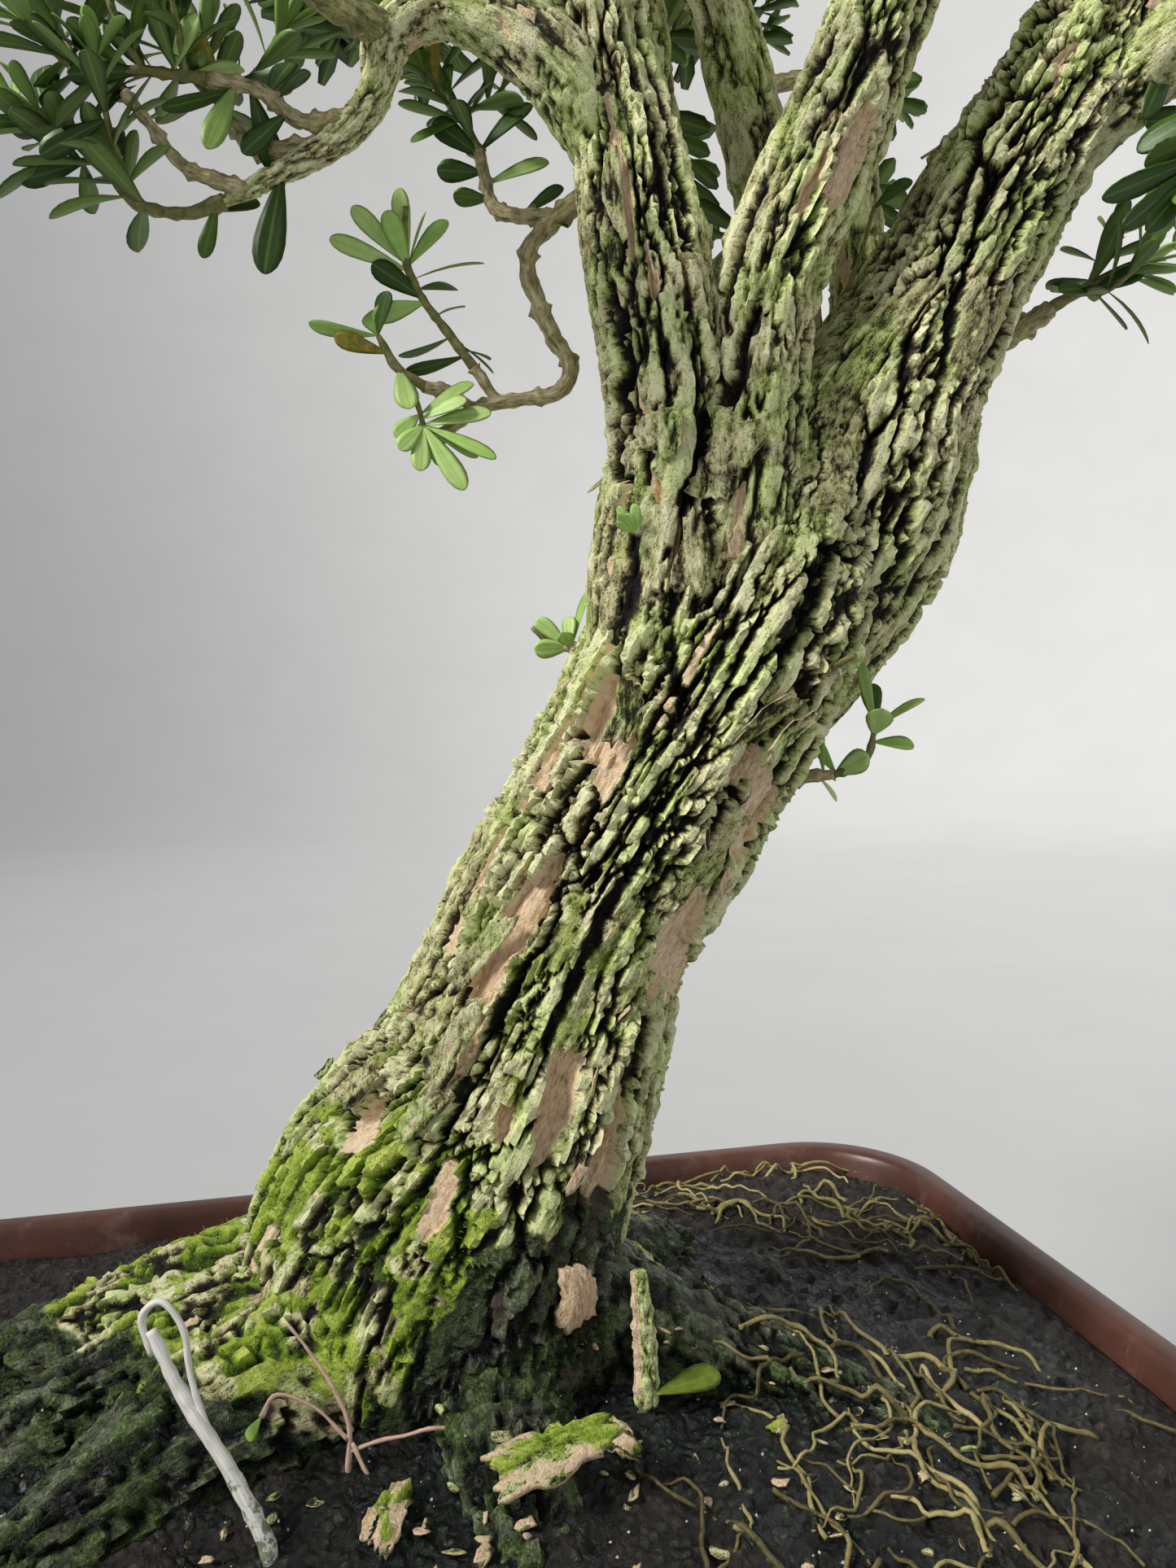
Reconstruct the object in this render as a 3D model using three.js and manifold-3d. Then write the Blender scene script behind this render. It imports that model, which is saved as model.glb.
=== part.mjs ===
// A Harland boxwood bonsai in its rectangular training pot, in millimetres, +Z up.
// The origin is the centre of the pot's underside, +X runs along the pot's long side and +Y to its back.
// The trunk leans to +X, divides at knee height into columns of corky ridged bark, and carries leafy sprays.
import * as THREE from "three";
import Module from "manifold-3d";
import { mergeVertices } from "three/addons/utils/BufferGeometryUtils.js";

const wasm = await Module();
wasm.setup();

// Driving dimensions
const POT_LENGTH = 440;
const POT_WIDTH = 310;
const POT_HEIGHT = 105;
const POT_CORNER = 50;
const POT_FLOOR = 6;
const CORNER_STEPS = 4;
const SIDE_STEPS = 3;
const DRAIN_X = 95;
const DRAIN_RADIUS = 13;
const CHANNEL_WIDTH = 12;
const CHANNEL_DEPTH = 2.5;
const SCREEN_SIDE = 44;
const SCREEN_THICKNESS = 1.2;
const SCREEN_HOLES = 2;
const SOIL_EDGE_Z = 92;
const MOUND_HEIGHT = 29;
const MOUND_REACH = 124;
const GAP = 0.3;
const LEAF_LENGTH = 22;
const LEAF_WIDTH = 7.6;
const LEAF_THICKNESS = 0.7;
const SHOOT_RADIUS = 1.2;
const SUNK_RADIUS = 0.45;
const BURIED = 8;
const BARK_RIDGE = 3.4;
const CROWN_CENTRE = new THREE.Vector3(66, -4, 552);
const CROWN_REACH = new THREE.Vector3(214, 146, 124);
const CROWN_TIPS = 15;
const CROWN_DEEPEST = -0.42;
const GOLDEN_ANGLE = Math.PI * (3 - Math.sqrt(5));

// Solids and geometry

function solidOf(geometry) {
  const bare = new THREE.BufferGeometry();
  const source = geometry.index ? geometry.toNonIndexed() : geometry;
  bare.setAttribute("position", source.getAttribute("position"));
  const merged = mergeVertices(bare, 1e-4);
  const triVerts = new Uint32Array(merged.index.array);
  const make = () =>
    new wasm.Manifold(
      new wasm.Mesh({ numProp: 3, vertProperties: merged.attributes.position.array, triVerts }),
    );
  let solid = make();
  if (solid.volume() < 0) {
    for (let i = 0; i < triVerts.length; i += 3) {
      [triVerts[i + 1], triVerts[i + 2]] = [triVerts[i + 2], triVerts[i + 1]];
    }
    solid = make();
  }
  return solid;
}

function geometryOf(solid) {
  const mesh = solid.getMesh();
  const positions = new Float32Array(mesh.numVert * 3);
  for (let i = 0; i < mesh.numVert; i += 1) {
    positions.set(mesh.vertProperties.subarray(i * mesh.numProp, i * mesh.numProp + 3), i * 3);
  }
  const geometry = new THREE.BufferGeometry();
  geometry.setAttribute("position", new THREE.BufferAttribute(positions, 3));
  geometry.setIndex(new THREE.BufferAttribute(mesh.triVerts, 1));
  return geometry.toNonIndexed();
}

// A closed skin over a stack of rings that have the same number of points, with a fan on each end.
function loft(rings) {
  const count = rings[0].length;
  const positions = [];
  const indices = [];
  rings.forEach((ring) => ring.forEach((p) => positions.push(p.x, p.y, p.z)));
  for (let k = 0; k + 1 < rings.length; k += 1) {
    for (let i = 0; i < count; i += 1) {
      const a = k * count + i;
      const b = k * count + ((i + 1) % count);
      indices.push(a, b, b + count, a, b + count, a + count);
    }
  }
  const cap = (k, flip) => {
    const middle = new THREE.Vector3();
    rings[k].forEach((p) => middle.add(p));
    middle.divideScalar(count);
    const hub = positions.length / 3;
    positions.push(middle.x, middle.y, middle.z);
    for (let i = 0; i < count; i += 1) {
      const a = k * count + i;
      const b = k * count + ((i + 1) % count);
      if (flip) indices.push(hub, b, a);
      else indices.push(hub, a, b);
    }
  };
  cap(0, true);
  cap(rings.length - 1, false);
  const geometry = new THREE.BufferGeometry();
  geometry.setAttribute("position", new THREE.Float32BufferAttribute(positions, 3));
  geometry.setIndex(indices);
  return geometry;
}

// A tube along a curve through points [x, y, z, radius]. shape(angle, share, radius) may change the radius,
// and shape.twist turns the rings by that angle from end to end, so that ridges wind round with them.
// grow makes it that much larger all round, for the hole that the same tube stands in.
const PLAIN = (angle, share, radius) => radius;

function tube(points, sides, steps, shape = PLAIN, grow = 0) {
  const curve = new THREE.CatmullRomCurve3(points.map(([x, y, z]) => new THREE.Vector3(x, y, z)));
  const frames = curve.computeFrenetFrames(steps, false);
  const rings = [];
  for (let k = 0; k <= steps; k += 1) {
    const share = k / steps;
    const t = curve.getUtoTmapping(share);
    const centre = curve.getPoint(t);
    if (k === 0) centre.addScaledVector(frames.tangents[k], -grow);
    if (k === steps) centre.addScaledVector(frames.tangents[k], grow);
    const radius = radiusAt(points, t);
    const ring = [];
    for (let i = 0; i < sides; i += 1) {
      const angle = (2 * Math.PI * i) / sides;
      const r = shape(angle, share, radius) + grow / Math.cos(Math.PI / sides);
      const turned = angle + (shape.twist ?? 0) * share;
      ring.push(
        centre
          .clone()
          .addScaledVector(frames.normals[k], r * Math.cos(turned))
          .addScaledVector(frames.binormals[k], r * Math.sin(turned)),
      );
    }
    rings.push(ring);
  }
  return loft(rings);
}

function radiusAt(points, t) {
  const place = t * (points.length - 1);
  const low = Math.min(Math.floor(place), points.length - 2);
  return THREE.MathUtils.lerp(points[low][3], points[low + 1][3], place - low);
}

// Seeded draws from 0 to 1.
function draws(seed) {
  let state = seed;
  return () => {
    state = (state * 1103515245 + 12345) % 2147483648;
    return state / 2147483648;
  };
}

// Pot

// A rounded rectangle, with extra points along its sides where a surface bends across them.
function roundedOutline(halfX, halfY, radius, z, sideSteps) {
  const corners = [
    [halfX - radius, halfY - radius],
    [radius - halfX, halfY - radius],
    [radius - halfX, radius - halfY],
    [halfX - radius, radius - halfY],
  ];
  const ring = [];
  corners.forEach(([cx, cy], quarter) => {
    for (let i = 0; i <= CORNER_STEPS; i += 1) {
      const angle = (quarter + i / CORNER_STEPS) * (Math.PI / 2);
      ring.push(new THREE.Vector3(cx + radius * Math.cos(angle), cy + radius * Math.sin(angle), z));
    }
    const [nx, ny] = corners[(quarter + 1) % 4];
    const turn = (quarter + 1) * (Math.PI / 2);
    const from = ring[ring.length - 1];
    const to = new THREE.Vector3(nx + radius * Math.cos(turn), ny + radius * Math.sin(turn), z);
    for (let i = 1; i <= sideSteps; i += 1) {
      ring.push(from.clone().lerp(to, i / (sideSteps + 1)));
    }
  });
  return ring;
}

function potRing(inset, z, sideSteps = 0) {
  const radius = POT_CORNER - 0.7 * inset;
  return roundedOutline(POT_LENGTH / 2 - inset, POT_WIDTH / 2 - inset, radius, z, sideSteps);
}

// [inset from the rim's outer edge, height]: up the outside, over the rolled lip and down the inside.
const LIP = POT_HEIGHT;
const POT_OUTSIDE = [
  [25, 0],
  [20, 4],
  [10.5, LIP - 13],
  [9.5, LIP - 11],
  [1.5, LIP - 10.5],
  [0, LIP - 8.5],
  [0, LIP - 3],
  [1, LIP - 1],
  [3.5, LIP],
];
const POT_INSIDE = [
  [9, LIP],
  [11, LIP - 1.2],
  [12.5, LIP - 6],
  [14.5, LIP - 14],
  [24, POT_FLOOR + 6],
  [30, POT_FLOOR],
];

function potSolid() {
  const rings = [...POT_OUTSIDE, ...POT_INSIDE].map(([inset, z]) => potRing(inset, z));
  let solid = solidOf(loft(rings));
  [-DRAIN_X, DRAIN_X].forEach((x) => {
    const drain = new THREE.CylinderGeometry(DRAIN_RADIUS, DRAIN_RADIUS, 40, 20);
    drain.rotateX(Math.PI / 2).translate(x, 0, 0);
    const channel = new THREE.BoxGeometry(CHANNEL_WIDTH, POT_WIDTH + 20, 2 * CHANNEL_DEPTH);
    channel.translate(x, 0, 0);
    solid = solid.subtract(solidOf(drain)).subtract(solidOf(channel));
  });
  return solid;
}

function screenSolid(x) {
  const plate = new THREE.BoxGeometry(SCREEN_SIDE, SCREEN_SIDE, SCREEN_THICKNESS);
  const z = POT_FLOOR + GAP + SCREEN_THICKNESS / 2;
  plate.translate(x, 0, z);
  let solid = solidOf(plate);
  const pitch = SCREEN_SIDE / (SCREEN_HOLES + 1);
  for (let i = 0; i < SCREEN_HOLES; i += 1) {
    for (let j = 0; j < SCREEN_HOLES; j += 1) {
      const hole = new THREE.BoxGeometry(0.7 * pitch, 0.7 * pitch, 4 * SCREEN_THICKNESS);
      const middle = (SCREEN_HOLES - 1) / 2;
      hole.translate(x + (i - middle) * pitch, (j - middle) * pitch, z);
      solid = solid.subtract(solidOf(hole));
    }
  }
  return solid;
}

// Soil, heaped round the foot of the trunk

function soilHeight(x, y) {
  const reach = Math.hypot((x - 4) / (1.3 * MOUND_REACH), (y + 6) / MOUND_REACH);
  const mound = MOUND_HEIGHT * Math.exp(-(reach ** 2.4));
  const corner = 8 * Math.exp(-(((x - 158) / 60) ** 2) - ((y - 98) / 45) ** 2);
  const lumps = 0.9 * Math.sin(x / 17 + 1.3) * Math.cos(y / 14) + 0.6 * Math.sin(x / 9 - y / 11);
  return SOIL_EDGE_Z + mound + corner + lumps;
}

const SOIL_INSET = 15.4;
const SOIL_SHARES = [1, 0.88, 0.72, 0.55, 0.36, 0.16];

function soilGeometry() {
  const rings = [
    potRing(30 + GAP, POT_FLOOR + GAP, SIDE_STEPS),
    potRing(24 + GAP, POT_FLOOR + 6 + GAP, SIDE_STEPS),
    potRing(SOIL_INSET, SOIL_EDGE_Z - 4, SIDE_STEPS),
  ];
  SOIL_SHARES.forEach((share) => {
    rings.push(
      potRing(SOIL_INSET, 0, SIDE_STEPS).map((p) => {
        const x = p.x * share;
        const y = p.y * share;
        return new THREE.Vector3(x, y, soilHeight(x, y) - (share === 1 ? 1.5 : 0));
      }),
    );
  });
  return loft(rings);
}

// Trunk, root flare and limbs. Rows are [x, y, z, radius].

const TRUNK = [
  [-5, 5, 100, 50],
  [-5, 6, 128, 58],
  [2, 5, 158, 53],
  [19, 0, 192, 41],
  [27, -2, 215, 37],
  [36, -4, 240, 35],
  [52, -8, 271, 35.5],
  [69, -12, 304, 37],
  [84, -14, 334, 35],
  [98, -16, 370, 24],
  [112, -18, 402, 10],
];
const LEFT_COLUMN = [
  [50, -14, 285, 15],
  [56, -19, 336, 20],
  [60, -20, 364, 19.5],
  [58, -19, 391, 18.5],
  [53, -17, 418, 18],
  [48, -15, 446, 16],
  [42, -12, 473, 13.5],
  [36, -10, 505, 12],
  [24, -10, 548, 10],
  [18, -8, 592, 7.5],
  [24, -4, 640, 1.8],
];
const LEFT_BACK_LIMB = [
  [60, -10, 400, 9],
  [58, 2, 450, 10.5],
  [56, 12, 505, 9.5],
  [50, 34, 560, 7],
  [58, 52, 615, 1.8],
];
const RIGHT_COLUMN = [
  [72, -10, 285, 20],
  [103, -10, 336, 30],
  [115, -13, 364, 31.5],
  [124, -16, 391, 27],
  [137, -20, 415, 22],
  [152, -24, 445, 20],
  [170, -29, 476, 18.5],
  [187, -34, 507, 16],
  [208, -42, 552, 12],
  [222, -44, 600, 8],
  [226, -36, 640, 1.8],
];
const RIGHT_FRONT_LIMB = [
  [160, -26, 450, 11],
  [196, -44, 486, 11],
  [232, -60, 520, 8],
  [268, -74, 548, 1.8],
];
const MIDDLE_LIMB = [
  [70, -24, 310, 10],
  [77, -31, 350, 12.5],
  [78, -31, 384, 13],
  [83, -28, 416, 13],
  [95, -28, 445, 14],
  [105, -31, 470, 13.5],
  [115, -34, 496, 12.5],
  [128, -40, 548, 10],
  [134, -38, 606, 7],
  [136, -30, 660, 1.8],
];
const BACK_LIMB = [
  [104, 0, 408, 9],
  [100, 6, 440, 9.5],
  [94, 9, 470, 9.5],
  [82, 12, 512, 8.5],
  [66, 32, 562, 6.5],
  [38, 62, 612, 1.8],
];
const REAR_LIMB = [
  [124, 0, 396, 9],
  [130, 12, 428, 9],
  [131, 20, 470, 8.5],
  [142, 44, 520, 7.5],
  [156, 66, 570, 6],
  [166, 86, 622, 1.8],
];
const LEFT_BRANCH = [
  [44, -14, 452, 11],
  [27, -17, 471, 10.5],
  [12, -14, 482, 9.5],
  [-3, -9, 487, 8],
  [-16, -5, 480, 6.5],
  [-20, -4, 466, 5],
  [-27, -2, 456, 4.6],
  [-44, 2, 445, 4],
  [-60, 6, 437, 3.4],
];
const HANGING_TWIG = [
  [46, -6, 448, 4],
  [31, 4, 441, 2.7],
  [23, 5, 430, 2.4],
  [28, 4, 412, 2.4],
  [35, 3, 399, 2.3],
  [32, 3, 392.5, 2.2],
  [21, 6, 390, 2.1],
  [10, 9, 388, 2],
  [-2, 9, 379, 1.8],
];
// Root rows, and short bare twigs below, are on one line each, from the trunk outwards.
const ROOTS = [
  [[-8, -2, 128, 38], [-40, 10, 130, 28], [-68, 19, 127, 22], [-98, 27, 117, 17], [-130, 34, 106, 13], [-166, 36, 90, 7]],
  [[-12, -2, 126, 38], [-50, -2, 127, 25], [-84, -4, 117, 20], [-118, -8, 104, 14], [-148, -10, 90, 8]],
  [[-12, -8, 124, 36], [-50, -24, 122, 25], [-82, -40, 112, 19], [-112, -54, 100, 13], [-140, -66, 88, 7]],
  [[4, -10, 124, 36], [4, -48, 113, 20], [6, -78, 103, 14], [8, -104, 93, 8]],
  [[12, -2, 126, 36], [50, -18, 118, 24], [86, -34, 107, 17], [118, -50, 97, 11], [144, -62, 87, 7]],
  [[10, 12, 126, 34], [46, 32, 120, 18], [78, 52, 108, 12], [106, 70, 95, 8]],
  [[-10, 16, 126, 32], [-38, 46, 118, 19], [-62, 72, 105, 12], [-80, 92, 92, 8]],
];
// Short bare twigs that carry the leafy shoots low on the tree.
const TWIGS = {
  left_upper: [[-26, -3, 458, 3], [-40, 0, 458, 2], [-50, 0, 464, 1.9], [-63, 1, 466, 1.8]],
  left_middle: [[-32, -1, 452, 3], [-51, 9, 453, 2.2], [-58, 15, 462, 1.9]],
  left_stub: [[-54, 4, 440, 2.4], [-70, 5, 445, 1.7], [-78, 3, 454, 1.5], [-84, 3, 461, 1.3]],
  behind_left: [[31, 3, 441, 2.2], [16, 16, 447, 1.9], [12, 22, 465, 1.7]],
  hanging_upright: [[16, 7.5, 389, 1.2], [12, 8.5, 394, 1.6], [8, 8.7, 399, 1.5]],
  hanging_left: [[9, 9, 387.5, 1.2], [0, 10, 392, 1.8], [-6, 10, 393, 1.7]],
  right_small: [[140, -14, 404, 5], [164, -15, 412, 3.6], [178, -17, 421, 2.8]],
  right_top: [[196, -46, 486, 5], [203, -62, 475, 2.2], [202, -63, 468, 1.8]],
  trunk_left: [[50, -4, 320, 2.4], [32, 2.5, 319, 1.3]],
  trunk_right_upper: [[88, -22, 310, 2.6], [95, -46, 312, 1.3]],
  trunk_right_lower: [[84, -16, 280, 2.6], [103, -31, 283, 1.6]],
};

// Corky ridges run up the bark, three points of each ring to a ridge, over a few broad flutes. The ridges
// are broken along their length, each at its own heights.
function barkShape(flutes, ridges, twist, height, seed) {
  const shape = (angle, share, radius) => {
    const fade = Math.min(1, 4 * share, 6 * (1 - share));
    const broad = 0.45 * Math.sin(flutes * angle + 2.1 * seed + 1.5 * share);
    const ridge = Math.round((angle * ridges) / (2 * Math.PI));
    const crest = Math.cos(ridges * angle);
    const broken = 0.55 + 0.45 * Math.sin(19 * share + 2.4 * ridge + seed);
    return radius + height * fade * (broad + crest * broken);
  };
  shape.twist = twist;
  return shape;
}

function woodStrands() {
  return [
    trunkTube(0),
    tube(LEFT_COLUMN, 15, 11, barkShape(2, 5, 0.9, 0.6 * BARK_RIDGE, 2)),
    tube(RIGHT_COLUMN, 18, 11, barkShape(2, 6, 0.8, 0.8 * BARK_RIDGE, 3)),
    tube(MIDDLE_LIMB, 12, 9, barkShape(2, 4, 0.8, 0.5 * BARK_RIDGE, 4)),
    tube(LEFT_BACK_LIMB, 6, 5),
    tube(RIGHT_FRONT_LIMB, 6, 4),
    tube(BACK_LIMB, 7, 6),
    tube(REAR_LIMB, 7, 6),
    tube(LEFT_BRANCH, 7, 8),
    tube(HANGING_TWIG, 4, 8),
    ...ROOTS.map((root, i) => rootTube(root, i, 0)),
    ...Object.values(TWIGS).map((twig) => tube(twig, 3, twig.length - 1)),
  ];
}

function trunkTube(grow) {
  return tube(TRUNK, 36, 14, barkShape(3, 12, 0.7, BARK_RIDGE, 1), grow);
}

function rootTube(root, i, grow) {
  return tube(root, 9, root.length - 1, barkShape(2, 3, 0.6, 0.5 * BARK_RIDGE, i), grow);
}

// Height of the soil at a point, or of the root that rises out of it there.
const bothSides = new THREE.MeshBasicMaterial({ side: THREE.DoubleSide });
const groundSkins = [soilGeometry(), ...ROOTS.map((root, i) => rootTube(root, i, 0))].map(
  (geometry) => new THREE.Mesh(geometry, bothSides),
);
const plumb = new THREE.Raycaster();

function ground(x, y) {
  plumb.set(new THREE.Vector3(x, y, 300), new THREE.Vector3(0, 0, -1));
  return plumb.intersectObjects(groundSkins)[0].point.z;
}

// Crown: each tip lies on a dome and grows from the nearest wood that is lower than itself.

function crownTips() {
  const tips = [];
  for (let i = 0; i < CROWN_TIPS; i += 1) {
    const height = 1 - ((i + 0.5) / CROWN_TIPS) * (1 - CROWN_DEEPEST);
    const ring = Math.sqrt(1 - height * height);
    const depth = i % 3 === 2 ? 0.72 : 1;
    tips.push(
      new THREE.Vector3(
        CROWN_CENTRE.x + depth * CROWN_REACH.x * ring * Math.cos(i * GOLDEN_ANGLE),
        CROWN_CENTRE.y + depth * CROWN_REACH.y * ring * Math.sin(i * GOLDEN_ANGLE),
        CROWN_CENTRE.z + depth * CROWN_REACH.z * height,
      ),
    );
  }
  return tips;
}

const LIMBS = [LEFT_COLUMN, LEFT_BACK_LIMB, RIGHT_COLUMN, RIGHT_FRONT_LIMB, MIDDLE_LIMB, BACK_LIMB, REAR_LIMB];
const LOWEST_BRANCH = 452;

// Branches from the limbs to the crown's tips, nearest tips first, each from the wood that is nearest to it.
function growBranches() {
  const wood = [...LIMBS, LEFT_BRANCH]
    .flat()
    .filter(([, , z, r]) => z > LOWEST_BRANCH && r > 3)
    .map(([x, y, z, r]) => ({ p: new THREE.Vector3(x, y, z), r }));
  const fromWood = (tip) => Math.min(...wood.map(({ p }) => p.distanceTo(tip)));
  const order = crownTips()
    .map((tip) => ({ tip, far: fromWood(tip) }))
    .sort((a, b) => a.far - b.far);
  return order.map(({ tip }) => {
    let best = null;
    let least = Infinity;
    wood.forEach((node) => {
      const far = node.p.distanceTo(tip) + 1.6 * Math.max(0, node.p.z - tip.z + 18);
      if (far < least) {
        least = far;
        best = node;
      }
    });
    const across = tip.clone().sub(best.p);
    const length = across.length();
    const away = new THREE.Vector3(across.x, across.y, 0).normalize();
    const base = Math.min(0.8 * best.r, 2.4 + 0.018 * length);
    const points = [0, 0.3, 0.62, 1].map((share) => {
      const bow = 0.1 * length * Math.sin(Math.PI * share);
      const p = best.p.clone().addScaledVector(across, share).addScaledVector(away, bow);
      return [p.x, p.y, p.z - bow, THREE.MathUtils.lerp(base, 1.7, share)];
    });
    points.slice(1, 3).forEach(([x, y, z, r]) => wood.push({ p: new THREE.Vector3(x, y, z), r }));
    return points;
  });
}

// A leaf along +X, face up: from a pointed foot at the origin it widens to a spoon and bends down to its tip.
function leafGeometry(length, width) {
  const half = LEAF_THICKNESS / 2;
  const across = (x, z, y) => [
    new THREE.Vector3(x, -y, z - half),
    new THREE.Vector3(x, y, z - half),
    new THREE.Vector3(x, y, z + half),
    new THREE.Vector3(x, -y, z + half),
  ];
  const rings = [
    across(0.7 * length, 0, 0.5 * width),
    across(0.98 * length, -0.05 * length, 0.22 * width),
  ];
  const positions = [0, 0, 0];
  rings.flat().forEach((p) => positions.push(p.x, p.y, p.z));
  const indices = [];
  for (let i = 0; i < 4; i += 1) {
    const j = (i + 1) % 4;
    indices.push(0, 1 + j, 1 + i);
    indices.push(1 + i, 1 + j, 5 + j, 1 + i, 5 + j, 5 + i);
  }
  indices.push(5, 6, 7, 5, 7, 8);
  const blade = new THREE.BufferGeometry();
  blade.setAttribute("position", new THREE.Float32BufferAttribute(positions, 3));
  blade.setIndex(indices);
  return blade;
}

// Turns +X to a direction, with +Z as near to up as it can be, and rolls about the direction.
function placeAlong(geometry, foot, direction, roll) {
  const x = direction.clone().normalize();
  const y = new THREE.Vector3(0, 0, 1).cross(x);
  if (y.lengthSq() < 1e-6) y.set(0, 1, 0);
  y.normalize();
  const z = x.clone().cross(y);
  const matrix = new THREE.Matrix4().makeBasis(x, y, z);
  const turned = geometry.clone().applyMatrix4(new THREE.Matrix4().makeRotationX(roll));
  return turned.applyMatrix4(matrix).translate(foot.x, foot.y, foot.z);
}

// Everything placed so far, which a new leaf or shoot has to clear.
const placed = [];

function isClear(solid) {
  return placed.every((other) => solid.intersect(other).volume() < 1e-3);
}

// A place on the straight chords of a stem's tube, at a share of its length.
function onChords(points, share) {
  const curve = new THREE.CatmullRomCurve3(points.map(([x, y, z]) => new THREE.Vector3(x, y, z)));
  const steps = points.length - 1;
  const k = Math.min(Math.floor(share * steps), steps - 1);
  const [from, to] = [curve.getPointAt(k / steps), curve.getPointAt((k + 1) / steps)];
  const along = to.clone().sub(from).normalize();
  return { foot: from.lerp(to, share * steps - k), along };
}

// A place a little way past the end of a twig's tube.
function pastEnd(twig, distance) {
  const curve = new THREE.CatmullRomCurve3(twig.map(([x, y, z]) => new THREE.Vector3(x, y, z)));
  return curve.getPoint(1).addScaledVector(curve.getTangent(1), distance).toArray();
}

// A leafy shoot on the end of a twig: a main stem, side stems that start inside it, and whorls of leaves at
// shares of each. It keeps the smallest gap to the twig at which it clears everything, and a leaf that would
// touch wood or another shoot is turned until it is clear, or left out if it never is.
function shootSolid({ on, foot: footRadius, main, sides = [], whorls, seed, size = 1 }) {
  const draw = draws(seed);
  let stems;
  let shoot = null;
  for (let gap = GAP; gap < 2 && !shoot; gap += 0.1) {
    const mainStem = [[...pastEnd(on, gap), footRadius], ...main];
    stems = [mainStem];
    sides.forEach(({ at, to }) => {
      const { foot } = onChords(mainStem, at);
      stems.push([[...foot.toArray(), SUNK_RADIUS], ...to]);
    });
    const joined = stems
      .map((points) => solidOf(tube(points, 3, points.length - 1)))
      .reduce((sum, stem) => sum.add(stem));
    if (isClear(joined)) shoot = joined;
  }
  if (!shoot) return null;
  whorls.forEach(([stem, share, count, turn]) => {
    const { foot, along } = onChords(stems[stem], share);
    const side = new THREE.Vector3(0, 0, 1).cross(along);
    if (side.lengthSq() < 1e-4) side.set(1, 0, 0);
    side.normalize();
    const up = along.clone().cross(side);
    for (let i = 0; i < count; i += 1) {
      for (let attempt = 0; attempt < 10; attempt += 1) {
        const around = turn + (2 * Math.PI * i) / count + (draw() - 0.5) * (0.5 + 0.35 * attempt);
        const lean = 0.55 + 0.45 * draw() + 0.06 * attempt;
        const out = side.clone().multiplyScalar(Math.cos(around)).addScaledVector(up, Math.sin(around));
        const direction = along.clone().multiplyScalar(Math.cos(lean)).addScaledVector(out, Math.sin(lean));
        const length = size * LEAF_LENGTH * (0.82 + 0.3 * draw());
        const blade = leafGeometry(length, size * LEAF_WIDTH);
        const leaf = solidOf(placeAlong(blade, foot, direction, (draw() - 0.5) * 0.9));
        if (isClear(leaf)) {
          shoot = shoot.add(leaf);
          break;
        }
      }
    }
  });
  return shoot.decompose().sort((a, b) => b.volume() - a.volume())[0];
}

// Three stems from a branch end: one ahead, and one to each side.
function spraySpec(on, seed) {
  const draw = draws(seed);
  const end = new THREE.Vector3(...pastEnd(on, GAP));
  const direction = end.clone().sub(new THREE.Vector3(...pastEnd(on, 0))).normalize();
  const ahead = direction.clone().setZ(direction.z + 0.35).normalize();
  const side = new THREE.Vector3(0, 0, 1).cross(ahead).normalize();
  const fork = end.clone().addScaledVector(direction, 7);
  const tip = fork.clone().addScaledVector(ahead, 34 + 8 * draw());
  const at = (p, r) => [...p.toArray(), r];
  const sideStem = (sign) => {
    const out = ahead.clone().multiplyScalar(0.55).addScaledVector(side, sign).normalize();
    out.z += 0.3 * (draw() - 0.3);
    const sideTip = fork.clone().addScaledVector(out, 26 + 10 * draw());
    sideTip.z += 4;
    return { at: 0.42, to: [at(sideTip, 0.7 * SHOOT_RADIUS)] };
  };
  return {
    on,
    foot: 1.3 * SHOOT_RADIUS,
    seed,
    main: [at(fork, 1.2 * SHOOT_RADIUS), at(tip, 0.7 * SHOOT_RADIUS)],
    sides: [sideStem(1), sideStem(-1)],
    whorls: [
      [0, 0.93, 2, 0.1],
      [1, 0.5, 1, 1.4],
      [1, 0.93, 2, 0.2],
      [2, 0.5, 1, 1.7],
      [2, 0.93, 2, 0.2],
    ],
  };
}

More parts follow.
